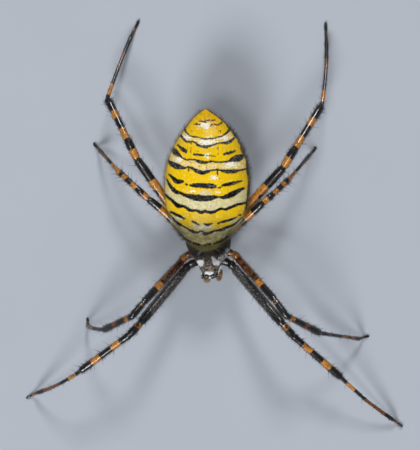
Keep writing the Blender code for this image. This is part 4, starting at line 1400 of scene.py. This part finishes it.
# %% Silver tufts and fringe
SILVER_TUFTS = (
    ((-1.10, 1.62, .17), (-.98, 1.80, .26), (-.80, 1.62, .18)),
    ((.50, 1.25, .08), (.62, 1.50, .18), (.78, 1.78, .26), (1.05, 1.78, .14)),
    ((-.40, 2.88, .11), (-.09, 2.90, .16), (.24, 2.88, .11)),
    ((-1.22, 2.30, .04), (-1.06, 2.72, .09), (-.94, 3.02, .11)),
    ((1.30, 2.28, .07), (1.19, 2.70, .11), (.92, 3.06, .11)),
    ((-.05, 3.34, .05), (.04, 3.42, .05)),
)
SILVER_FRINGE = (
    ((1.24, 1.80, .08), (1.52, 1.45, .13), (1.92, .98, .16), (2.24, .40, .08)),
    ((1.15, 1.40, .04), (1.50, 1.05, .08)),
    ((-1.45, 1.95, .05), (-1.75, 1.50, .07), (-2.02, 1.00, .05)),
)
print("tufts and fringe rows:", len(SILVER_TUFTS), len(SILVER_FRINGE))

# %% Shield skin points
dome_rows = np.linspace(CARAPACE[0, 0], DOME_END, SHIELD_ROWS)
ahead = np.concatenate([dome_rows, np.linspace(FACE_FROM, FACE_TO, FACE_ROWS)])
half, top = (smooth_through(ahead, CARAPACE[:, 0], CARAPACE[:, column])[:, None] for column in (1, 2))
angle = math.pi * np.arange(DOME_SIDES)[None] / (DOME_SIDES - 1)
out = half * np.sign(np.cos(angle)) * abs(np.cos(angle)) ** DOME_SHARPNESS
height = RIM_HEIGHT + (top - RIM_HEIGHT) * np.sin(angle) ** DOME_SHARPNESS
share = (np.arange(WALL_SIDES)[None] + 1) / (WALL_SIDES + 1)
deep = np.interp(ahead, (-2.9, -2.2, 2.1, 2.7), (0.10, 1.0, 1.0, 0.10))[:, None]
tuck = held(1 - 0.22 * np.sin(math.pi * share) ** 0.5)
wall_out = -half * np.cos(-math.pi * share) * tuck
wall_height = RIM_HEIGHT - 0.03 - deep * 0.95 * np.sin(math.pi * share) ** 0.6
out = np.concatenate([out, wall_out], 1)
height = np.concatenate([height, wall_height], 1)
ahead = np.broadcast_to(ahead[:, None], out.shape)
last = np.array([0.80, 0.45])[:, None]
out = np.concatenate([out, out[-1:] * last])
height = np.concatenate([height, FACE_CENTRE + (height[-1:] - FACE_CENTRE) * last])
ahead = np.concatenate([ahead, ahead[-1:] + 0.035 * (1.6 - last)])
aside = out + bend(ahead)
shield_points = at_face(aside, ahead, height)
shield_normals = ring_normals(shield_points)
print("shield:", shield_points.shape[:2])

# %% Shield relief and marks
on_top = held((height - FLAT_TOP_FROM) / 0.3)
head = held((ahead - 0.6) / 1.0)
lift = -SHIELD_PIT_DEPTH * oval(out, ahead, PIT_PLACE)
lift -= HEAD_GROOVE_DEPTH * groove(out, ahead, *HEAD_GROOVE, HEAD_GROOVE_WIDTH)
for end in LEG_GROOVE_ENDS:
    lift -= LEG_GROOVE_DEPTH * groove(out, ahead, (0.15, PIT_AHEAD), end, LEG_GROOVE_WIDTH)
lift += 0.05 * head * hump(out / 0.7, 1)
lift = lift * on_top
near_eye = np.full(out.shape, 9.0)
for eye, side, centre, radius in eyes:
    gap = np.linalg.norm(shield_points - centre, axis=-1)
    near_eye = np.minimum(near_eye, gap / radius / (1.60 if "side" in eye else 1.05))
    lift += EYE_SWELL * hump((gap - radius * 1.12) / (radius * 0.42), 1)
    if "side" in eye:
        lift += SIDE_KNOB * hump(gap / 0.26, 1)
shield_points = shield_points + shield_normals * lift[..., None]
shield_normals = ring_normals(shield_points)

above_rim = height > RIM_HEIGHT - 0.02
silver = held(0.62 - to_lines(aside, ahead, SILVER_TUFTS) / 0.26) * above_rim
silver += 0.30 * held(1 - (height - RIM_HEIGHT) / 0.4) * above_rim
fringe = held(0.7 - to_lines(aside, ahead, SILVER_FRINGE) / 0.45) * above_rim
shield_marks = {
    "silver": held(silver) * held(near_eye / 0.35 - 4.2),
    "fringe": fringe,
    "eye": np.clip(near_eye, 0, 3),
    "warm": on_top * held(oval(out, ahead, (0, 2.35, .42, .35)) + oval(out, ahead, (0, 3.35, .22, .16))),
    # head: 0 at the rear, 1 toward the eyes; the rear is painted darker as the abdomen's shadow
    "head": held((ahead - 0.7) / 1.2),
    "wall": held((4.72 - height) / 0.12),
    "groove": held(-lift / 0.07),
}
print("marks on the shield:", list(shield_marks))

# %% [markdown]
# ## Fore body: finish and silver hair
# The plate is dark brown. What shows from a distance is the hair on it: flat, white and
# shiny, dense in two patches on the head, above the eyes and along the rim. The skin is
# paler where the hair is dense, so the gaps don't show dark.
# Toward the abdomen the plate is painted darker still, as the abdomen's shadow on it.

# %% Shield finish
SHIELD_DARK = (0.010, 0.008, 0.005)
SHIELD_BROWN = (0.055, 0.036, 0.022)
SHIELD_SILVER = (0.97, 0.97, 0.97)
SHIELD_RUST = (0.17, 0.055, 0.020)
SHIELD_ASH = (0.38, 0.34, 0.29)
EYE_BLACK = (0.002, 0.0018, 0.0018)
WALL = (0.060, 0.046, 0.036)
PLATE_RELIEF = 0.014
STRAY_HAIR = (0.060, 0.048, 0.036)
SILVER_HAIR = (0.98, 0.98, 0.98)


def shield_colour(finish):
    """Colour of the fore body from its marks."""
    wisps = finish.noise(7.0, 3, stretch=(1.0, 0.35, 1.0))
    # painted shadow: the rear of the plate, next to the abdomen, is darker
    plate = finish.mix((finish.mark("head") + (finish.noise(3.0) - 0.5) * 0.6).rises(0.15, 0.85),
                       SHIELD_DARK, SHIELD_BROWN)
    warm = (finish.mark("warm") + (wisps - 0.5) * 0.5).rises(0.3, 0.8)
    plate = finish.mix(warm * 0.8, plate, SHIELD_RUST)
    plate = finish.mix(finish.mark("groove") * 0.7, plate, SHIELD_DARK)
    ash = finish.noise(4.5, 3).rises(0.46, 0.60) * finish.mark("head")
    plate = finish.mix(ash * 0.75, plate, SHIELD_ASH)
    streaks = finish.noise(9.0, 2, stretch=(1.0, 0.25, 1.0)) + finish.mark("fringe") * 0.18
    streaks = streaks.rises(0.60, 0.68) * finish.mark("fringe").rises(0.05, 0.6)
    plate = finish.mix(streaks * 0.70, plate, SHIELD_SILVER)
    ragged = (wisps.rises(0.32, 0.68) - 0.5) * 0.35 + (finish.noise(3.2, 3) - 0.5) * 1.3
    furred = (finish.mark("silver") + ragged).rises(0.36, 0.50)
    colour = finish.mix(furred * 0.97, plate, SHIELD_SILVER)
    colour = finish.mix(finish.mark("eye").rises(1.90, 1.60), colour, EYE_BLACK)
    return finish.mix(finish.mark("wall"), colour, WALL)


shield_finish = Finish("silver_shield", Specular_IOR_Level=0.28)
shield_finish.set(Base_Color=shield_colour(shield_finish),
                  Roughness=0.36 + shield_finish.mark("silver") * 0.14 + shield_finish.noise(9.0) * 0.12)
shield_finish.bump(shield_finish.noise(12.0, 3) * 0.6 + shield_finish.cells(11.0) * 0.4, PLATE_RELIEF)
shield = Shape()
shield.tube(shield_points, shield_marks)
shield.make("carapace_shield", shield_finish, "carapace_shield", ["carapace"])

# %% Silver hair
SHIELD_HAIRS = 13000
SILVER_LENGTH = (0.10, 0.26)
SILVER_RADIUS = (0.009, 0.015)
SILVER_RISE = (0.05, 0.28)
SILVER_STRAY = 0.28
SILVER_PARTING = 0.35
BARE_ROUND_EYE = 1.80

weight = np.clip(shield_marks["silver"] ** 1.5 + fringe * 0.25, 0.05, 1)
weight = weight * (near_eye > BARE_ROUND_EYE) * (1 - shield_marks["wall"] * 0.7)
roots, outward, places, row, column = scatter_on_grid(shield_points, shield_normals, SHIELD_HAIRS, weight)
heading = -face_ahead - face_out * np.sign(out[row, column])[:, None] * SILVER_PARTING
heading = heading + rng.normal(0, SILVER_STRAY, (SHIELD_HAIRS, 3))
dense = shield_marks["silver"][row, column]
lengths = rng.uniform(*SILVER_LENGTH, SHIELD_HAIRS) * (0.8 + 0.5 * dense)
fleece = Shape()
fleece.spikes(roots, outward, lay_flat(heading, outward), lengths,
              rng.uniform(*SILVER_RADIUS, SHIELD_HAIRS), places,
              {name: values[row, column] for name, values in shield_marks.items()},
              rise=rng.uniform(*SILVER_RISE, SHIELD_HAIRS))
silver_hair = Finish("silver_hair", Roughness=0.40, Specular_IOR_Level=0.30)
furred = (silver_hair.mark("silver") + (silver_hair.noise(3.2, 3) - 0.5) * 1.3).rises(0.36, 0.50)
stray = silver_hair.mark("fringe").rises(0.05, 0.7) * silver_hair.noise(9.0, 2).rises(0.50, 0.62)
silver_hair.set(Base_Color=silver_hair.mix(furred.at_least(stray * 0.8), STRAY_HAIR, SILVER_HAIR))
fleece.make("carapace_hair", silver_hair, "carapace_shield")

# %% [markdown]
# ## Eyes
# Eight simple eyes in two rows: a square of four in the middle and a touching pair on
# a black knob at each side. Each is a clear dome over a black cup, so it is nearly
# black with one sharp light in it. The ball keeps the CAD radius, half sunk.

# %% Eyes
EYE_RINGS = 22
EYE_SIDES = 28
EYE_END = 0.03
BEHIND_EYES = (0.0, 2.1, 5.4)
CUP_BLACK = (0.004, 0.004, 0.005)
CUP_BROWN = (0.040, 0.020, 0.010)
EYE_RIM = (0.006, 0.004, 0.004)

lens = Finish("eye_lens", Roughness=0.12, Specular_IOR_Level=1.0,
              Coat_Weight=1.0, Coat_Roughness=0.10, Coat_IOR=2.0)
ring = lens.mark("polar") + (lens.noise(14.0) - 0.5) * 0.10
deep_eye = lens.mix(ring.rises(0.25, 0.62), CUP_BLACK, CUP_BROWN)
lens.set(Base_Color=lens.mix(ring.rises(0.62, 0.80), deep_eye, EYE_RIM))
for eye, side, centre, radius in eyes:
    gaze = unit(centre - at_face(*BEHIND_EYES))
    first = unit(np.cross(gaze, UP))
    second = np.cross(first, gaze)
    polar = np.linspace(EYE_END, math.pi - EYE_END, EYE_RINGS)[:, None, None]
    turn = (2 * math.pi * np.arange(EYE_SIDES) / EYE_SIDES)[None, :, None]
    spoke = first * np.cos(turn) + second * np.sin(turn)
    ball = centre + radius * (gaze * np.cos(polar) + spoke * np.sin(polar))
    globe = Shape()
    globe.tube(ball, {"polar": polar[:, :, 0] / math.pi * 2})
    globe.make(f"eye_{eye}_{side}_lens", lens, "eye_lens", [f"eye_{eye}_{side}"])

# %% [markdown]
# ## Jaws and palps
# The chelicerae are two stout cones that hang under the face, orange-brown, with a
# folding fang at each tip. The palps are short legs without a metatarsus, bent forward
# beside them. All are turned forms on a bent line, so one function makes them.

# %% Tubes on a line
TUBE_END = 0.04


def run_along(line):
    """Length along a line of points, at each of them."""
    return np.concatenate([[0], np.cumsum(np.linalg.norm(np.diff(line, axis=0), axis=1))])


def face_line(places):
    """A line through places on the fore body."""
    return [at_face(*place) for place in places]


def bent_tube(shape, line, radii, sides, rows, marks=None):
    """A tube on a smooth line through a few points, with a radius at each."""
    line, radii = np.array(line, float), np.array(radii, float)
    run = run_along(line)
    at = run[-1] * (1 - np.cos(np.linspace(TUBE_END, math.pi - TUBE_END, rows))) / 2
    centre = smooth_through(at, run, line)
    radius = np.maximum(smooth_through(at, run, radii), 0.004)
    tangent = unit(np.gradient(centre, axis=0))
    across = unit(np.cross(tangent, face_out * 0.25 + UP))
    over = np.cross(across, tangent)
    turn = 2 * math.pi * np.arange(sides) / sides
    turned_across = across[:, None] * np.cos(turn)[None, :, None]
    turned_over = over[:, None] * np.sin(turn)[None, :, None]
    rings = centre[:, None] + radius[:, None, None] * (turned_across + turned_over)
    share = at / run[-1]
    full = {"share": share[:, None]}
    full.update({name: mark(share)[:, None] for name, mark in (marks or {}).items()})
    shape.tube(rings, full)
    return {"places": centre, "radius": radius, "tangent": tangent, "across": across, "lift": over,
            "share": share}


# %% Bristles on a tube
BRISTLE_LENGTH = (0.4, 1.0)
BRISTLE_RADIUS = (0.008, 0.014)
BRISTLE_STRAY = 0.2
BRISTLE_ROOMS = 8

bristles = Shape()


def bristle_tube(tube, number, low, high, count, longest, rise=0.7):
    """Fine hairs on a bent tube; its number is its room on the flat map."""
    share = rng.uniform(low, high, count)
    i = np.clip(np.searchsorted(tube["share"], share), 0, len(tube["share"]) - 1)
    angle = rng.random(count) * 2 * math.pi
    outward = tube["across"][i] * np.cos(angle)[:, None] + tube["lift"][i] * np.sin(angle)[:, None]
    roots = tube["places"][i] + outward * tube["radius"][i][:, None]
    places = np.stack([angle / (2 * math.pi), (number + share) / BRISTLE_ROOMS], -1)
    heading = unit(tube["tangent"][i] + rng.normal(0, BRISTLE_STRAY, (count, 3)))
    bristles.spikes(roots, outward, heading, rng.uniform(*BRISTLE_LENGTH, count) * longest,
                    rng.uniform(*BRISTLE_RADIUS, count), places, rise=rise)


print("tube and bristle tools ready")

# %% Jaws and fangs
JAW_ROOT = (0.060, 0.030, 0.014)
JAW_ORANGE = (0.36, 0.155, 0.006)
JAW_TIP = (0.045, 0.018, 0.008)
JAW_BROWN = (0.10, 0.040, 0.012)
FANG_ROOT = (0.13, 0.030, 0.010)
FANG_TIP = (0.012, 0.006, 0.005)
FINE_RELIEF = 0.010
JAW_RADII = (.22, .34, .385, .375, .29, .12)
FANG_RADII = (.13, .125, .095, .055, .012)
JAW_LINES = {
    "left": ((.51, 2.86, 4.62), (.51, 2.90, 4.35), (.52, 2.99, 3.95), (.52, 3.07, 3.45),
             (.505, 3.10, 3.02), (.50, 3.11, 2.80)),
    "right": ((-.38, 3.02, 4.62), (-.38, 3.14, 4.35), (-.385, 3.37, 3.95), (-.38, 3.55, 3.45),
              (-.365, 3.64, 3.05), (-.36, 3.66, 2.83)),
}
FANG_LINES = {
    "left": ((.45, 3.00, 2.70), (.41, 2.90, 2.56), (.35, 2.74, 2.48), (.29, 2.58, 2.44),
             (.245, 2.50, 2.44)),
    "right": ((-.31, 3.56, 2.73), (-.28, 3.45, 2.59), (-.22, 3.29, 2.51), (-.16, 3.13, 2.47),
              (-.125, 3.04, 2.47)),
}

jaw_shell = Finish("jaw_shell", Specular_IOR_Level=0.30)
toward_tip = (jaw_shell.mark("share") + (jaw_shell.noise(3.0) - 0.5) * 0.4).rises(0.15, 0.55)
jaw = jaw_shell.mix(toward_tip, JAW_ROOT, JAW_ORANGE)
jaw = jaw_shell.mix(jaw_shell.mark("share").rises(0.80, 0.97), jaw, JAW_TIP)
jaw_shell.set(Base_Color=jaw_shell.mix(jaw_shell.noise(8.0).rises(0.5, 0.75) * 0.5, jaw, JAW_BROWN),
              Roughness=0.24 + jaw_shell.noise(9.0) * 0.12)
jaw_shell.bump(jaw_shell.noise(12.0) * 0.7 + jaw_shell.cells(9.0) * 0.3, FINE_RELIEF)
fang_horn = Finish("fang_horn", Roughness=0.16, Coat_Weight=0.5)
fang_horn.set(Base_Color=fang_horn.mix(fang_horn.mark("share").rises(0.1, 0.7), FANG_ROOT, FANG_TIP))
for number, side in enumerate(("left", "right")):
    jaws = Shape()
    tube = bent_tube(jaws, face_line(JAW_LINES[side]), JAW_RADII, sides=32, rows=60)
    jaws.make(f"{side}_jaw", jaw_shell, "dark_shell", [f"{side}_chelicera"])
    bristle_tube(tube, number, low=0.15, high=0.95, count=260, longest=0.26)
    fang = Shape()
    bent_tube(fang, face_line(FANG_LINES[side]), FANG_RADII, sides=20, rows=40)
    fang.make(f"{side}_fang_horn", fang_horn, "claw_horn", [f"{side}_fang"])

# %% Palps
PALP_AMBER = (0.28, 0.115, 0.008)
PALP_GOLD = (0.40, 0.185, 0.018)
PALP_DARK = (0.030, 0.014, 0.008)
PALP_JOINTS = (0.13, 0.40, 0.52, 0.72)
PALP_GIRTH = ((0, .1, .4, .5, .7, .75, .92, 1.0), (.15, .185, .205, .20, .205, .215, .185, .04))
PALP_LINES = {
    "left": ((1.06, 2.42, 3.98), (1.18, 2.64, 4.12), (1.23, 2.92, 4.25), (1.19, 3.20, 4.29),
             (1.11, 3.42, 4.17), (1.00, 3.57, 3.92), (.905, 3.61, 3.60)),
    "right": ((-.89, 2.44, 4.02), (-.86, 2.57, 3.65), (-.83, 2.71, 3.29), (-.80, 2.89, 2.95),
              (-.78, 3.07, 2.66), (-.75, 3.21, 2.42)),
}


def palp_dark(share):
    """A dark ring before the last joint of a palp, and a dark tip."""
    return held(hump(share - 0.66, 0.05) * 0.9 + held((share - 0.86) / 0.1))


palp_shell = Finish("palp_shell", Specular_IOR_Level=0.35)
palp = palp_shell.mix(palp_shell.noise(4.0, 3).rises(0.35, 0.7), PALP_AMBER, PALP_GOLD)
palp = palp_shell.mix(palp_shell.mark("dark"), palp, PALP_DARK)
palp_shell.set(Base_Color=palp, Roughness=0.26 + palp_shell.noise(8.0) * 0.12)
palp_shell.bump(palp_shell.noise(12.0) * 0.7 + palp_shell.cells(10.0) * 0.3, FINE_RELIEF)
for number, side in enumerate(("left", "right")):
    at = np.linspace(0, 1, 40)
    girth = np.interp(at, *PALP_GIRTH)
    for joint in PALP_JOINTS:
        girth = girth * (1 - 0.20 * hump(at - joint, 0.018))
    coarse = np.array(face_line(PALP_LINES[side]))
    run = run_along(coarse)
    fine = smooth_through(at * run[-1], run, coarse)
    palps = Shape()
    tube = bent_tube(palps, fine, girth, sides=24, rows=90, marks={"dark": palp_dark})
    palps.make(f"{side}_palp_skin", palp_shell, "leg_shell", [f"{side}_palp"])
    bristle_tube(tube, 2 + number, low=0.15, high=0.97, count=420, longest=0.34, rise=0.6)

# %% [markdown]
# ## Under side: breast plate, mouth, waist and spinnerets
# Below, a heart-shaped plate with a yellow stripe stands between the legs, with a lip
# and two mouth lobes in front. A short stalk joins the two halves of the body. Six
# silk cones stand on a low collar under the tail: a stout pair in front, a pair behind
# and a small pair between them.

# %% Breast plate
PLATE = np.array(((1.92, 0.16), (1.70, 0.48), (1.10, 0.70), (0.30, 0.82), (-0.50, 0.78),
                  (-1.10, 0.49), (-1.58, 0.12)))
PLATE_ROWS = 70
PLATE_SIDES = 56
PLATE_SQUARENESS = 2.8
PLATE_TOP = 4.5
PLATE_LOW = 3.38
LOBE_SPACING = 0.98
STRIPE_HALF = 0.30
STRIPE_END = -1.2
PLATE_DARK = (0.020, 0.013, 0.009)
PLATE_BROWN = (0.055, 0.033, 0.020)
PLATE_YELLOW = (0.62, 0.43, 0.10)
BREAST_RELIEF = 0.012

ahead = np.linspace(PLATE[0, 0], PLATE[-1, 0], PLATE_ROWS)
half = smooth_through(-ahead, -PLATE[:, 0], PLATE[:, 1])
half = half * (1 + 0.07 * np.cos(2 * math.pi * (ahead - 0.62) / LOBE_SPACING))
angle = 2 * math.pi * np.arange(PLATE_SIDES) / PLATE_SIDES
reach = abs(np.cos(angle)) ** PLATE_SQUARENESS + abs(np.sin(angle)) ** PLATE_SQUARENESS
reach = reach ** (-1 / PLATE_SQUARENESS)
out = half[:, None] * (np.cos(angle) * reach)[None]
low = (PLATE_LOW - 0.14 * half)[:, None]
height = (PLATE_TOP + low) / 2 + (PLATE_TOP - low) / 2 * (np.sin(angle) * reach)[None]
stripe = held(1 - abs(out) / STRIPE_HALF) * (ahead > STRIPE_END)[:, None]
plate = Shape()
plate.tube(at_face(out, ahead[:, None], height), {"stripe": stripe})
plate_finish = Finish("breast_plate", Specular_IOR_Level=0.5)
stripe = (plate_finish.mark("stripe") + (plate_finish.noise(4.0, 3) - 0.5) * 1.1).rises(0.28, 0.55)
brown = plate_finish.noise(5.0).rises(0.4, 0.8) * 0.6
plate_colour = plate_finish.mix(brown, PLATE_DARK, PLATE_BROWN)
plate_finish.set(Base_Color=plate_finish.mix(stripe * 0.9, plate_colour, PLATE_YELLOW),
                 Roughness=0.34 + plate_finish.noise(8.0) * 0.14)
plate_finish.bump(plate_finish.noise(12.0) * 0.6 + plate_finish.cells(10.0) * 0.4, BREAST_RELIEF)
plate.make("breast_plate", plate_finish, "dark_shell", ["sternum"])

# %% Mouth lobes
LOBE_LINE = ((.34, 2.02, 4.25), (.32, 2.12, 3.85), (.29, 2.22, 3.45), (.25, 2.28, 3.12))
LOBE_RADII = (.17, .20, .20, .09)
LIP_LINE = ((0.0, 1.98, 4.2), (0.0, 1.99, 3.8), (0.0, 2.00, 3.5), (0.0, 2.02, 3.30))
LIP_RADII = (.15, .17, .16, .06)
LOBE_DARK = (0.030, 0.018, 0.012)
LOBE_PALE = (0.42, 0.28, 0.12)


def pale_rim(share):
    """The pale end of a mouth lobe."""
    return held((share - 0.75) / 0.2)


mouth = Shape()
for sign in (-1, 1):
    line = face_line([(sign * out, ahead, height) for out, ahead, height in LOBE_LINE])
    bent_tube(mouth, line, LOBE_RADII, sides=24, rows=40, marks={"rim": pale_rim})
bent_tube(mouth, face_line(LIP_LINE), LIP_RADII, sides=24, rows=32, marks={"rim": pale_rim})
lobe = Finish("mouth_shell", Roughness=0.30)
rim_share = (lobe.mark("rim") + (lobe.noise(6.0) - 0.5) * 0.3).rises(0.3, 0.7)
lobe.set(Base_Color=lobe.mix(rim_share, LOBE_DARK, LOBE_PALE))
lobe.bump(lobe.noise(12.0), FINE_RELIEF)
mouth.make("mouth_lobes", lobe, "dark_shell", ["mouthparts"])

# %% Waist
WAIST_LINE = ((0.0, -2.92, 4.74), (0.0, -3.10, 4.70), (0.0, -3.28, 4.76), (0.0, -3.46, 4.90),
              (0.0, -3.62, 5.12))
WAIST_RADII = (.20, .19, .17, .19, .22)
STALK_DARK = (0.030, 0.020, 0.013)
STALK_PALE = (0.085, 0.058, 0.036)
STALK_RELIEF = 0.015

waist = Shape()
bent_tube(waist, face_line(WAIST_LINE), WAIST_RADII, sides=24, rows=40)
stalk = Finish("waist_skin", Roughness=0.42)
stalk.set(Base_Color=stalk.mix(stalk.noise(6.0), STALK_DARK, STALK_PALE))
stalk.bump(stalk.noise(9.0, stretch=(0.3, 1.0, 1.0)), STALK_RELIEF)
waist.make("waist", stalk, "dark_shell", ["pedicel"])

# %% Spinnerets
SILK_LEAN = unit(np.array([0.0, 0.42, -0.91]))
ROOT_FORWARD = 0.28
ROOT_HEIGHT = 4.98
COLLAR_STEPS = (-0.20, 0.15, 0.45, 0.70, 0.84)
COLLAR_RADII = (.66, .72, .70, .62, .40)
CONE_START = 0.62
CONE_SPACING = 0.37
CONE_LEAN_IN = 0.12
CONE_STEPS = (0, .3, .6, .85, 1.0)
CONE_TAPER = (1, 1, .86, .58, .2)
CONES = (
    # turn round the collar in degrees, length, radius
    (30, .86, .245), (150, .86, .245), (-30, .80, .215), (-150, .80, .215), (90, .52, .14), (-90, .50, .15))
SILK_BROWN = (0.085, 0.045, 0.020)
SILK_TAN = (0.22, 0.120, 0.045)
SILK_DARK = (0.016, 0.011, 0.008)
SILK_RELIEF = 0.014

silk_low, silk_high = (np.array(corner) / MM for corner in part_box("spinnerets"))
silk_middle = (silk_low + silk_high) / 2
silk_root = np.array([silk_middle[0], silk_middle[1] - ROOT_FORWARD, ROOT_HEIGHT])
silk_back = np.cross(SILK_LEAN, bag_out)


def cone_dark(share):
    """A dark ring on a silk cone, and a dark tip."""
    return held(hump(share - 0.62, 0.05) + held((share - 0.84) / 0.1))


silk = Shape()
bent_tube(silk, [silk_root + SILK_LEAN * step for step in COLLAR_STEPS], COLLAR_RADII, sides=40, rows=30)
for turn, tall, stout in CONES:
    spoke = bag_out * math.cos(math.radians(turn)) + silk_back * math.sin(math.radians(turn))
    base = silk_root + SILK_LEAN * CONE_START + spoke * CONE_SPACING
    tip = base + SILK_LEAN * tall - spoke * CONE_LEAN_IN
    line = [base + (tip - base) * step for step in CONE_STEPS]
    radii = [stout * share for share in CONE_TAPER]
    tube = bent_tube(silk, line, radii, sides=24, rows=44, marks={"dark": cone_dark})
    bristle_tube(tube, 4 + (turn + 150) / 90, low=0.25, high=0.98, count=110, longest=0.20)
spinning = Finish("spinneret_skin", Roughness=0.42)
tint = spinning.mix(spinning.noise(4.0).rises(0.35, 0.75), SILK_BROWN, SILK_TAN)
spinning.set(Base_Color=spinning.mix(spinning.mark("dark"), tint, SILK_DARK))
spinning.bump(spinning.noise(11.0), SILK_RELIEF)
silk.make("silk_cones", spinning, "dark_shell", ["spinnerets"])
print("spinneret box:", silk_low.round(2), silk_high.round(2), "root", silk_root.round(2))

# %% Bristle finish
BRISTLE_DARK = (0.035, 0.022, 0.014)
BRISTLE_PALE = (0.30, 0.25, 0.19)

thread = Finish("bristle_hair", Roughness=0.40)
paleness = thread.mark("tip") * 0.6 + thread.noise(5.0) * 0.3
thread.set(Base_Color=thread.mix(paleness, BRISTLE_DARK, BRISTLE_PALE))
bristles.make("face_and_tail_bristles", thread, "dark_shell")

# %% [markdown]
# ## Floor
# The stand is a plain pale sheet, wide enough that no view sees its edge near the
# spider. It isn't part of the object.

# %% Floor
FLOOR_SIZE = 6.0
PAPER_GREY = (0.410, 0.440, 0.490)
PAPER_PALE = (0.440, 0.470, 0.520)

sheet_mesh = bpy.data.meshes.new("floor")
reach = FLOOR_SIZE / 2
corners = [(-reach, -reach, 0), (reach, -reach, 0), (reach, reach, 0), (-reach, reach, 0)]
sheet_mesh.from_pydata(corners, [], [(0, 1, 2, 3)])
floor = bpy.data.objects.new("floor", sheet_mesh)
bpy.context.scene.collection.objects.link(floor)
paper = Finish("pale_paper", Roughness=0.9, Specular_IOR_Level=0.2)
paper.set(Base_Color=paper.mix(paper.noise(0.05, 4), PAPER_GREY, PAPER_PALE))
sheet_mesh.materials.append(paper.material)
floor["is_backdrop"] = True

# %% Sizes
low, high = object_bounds()
print("visual box in mm:", [round((b - a) / MM, 2) for a, b in zip(low, high)])
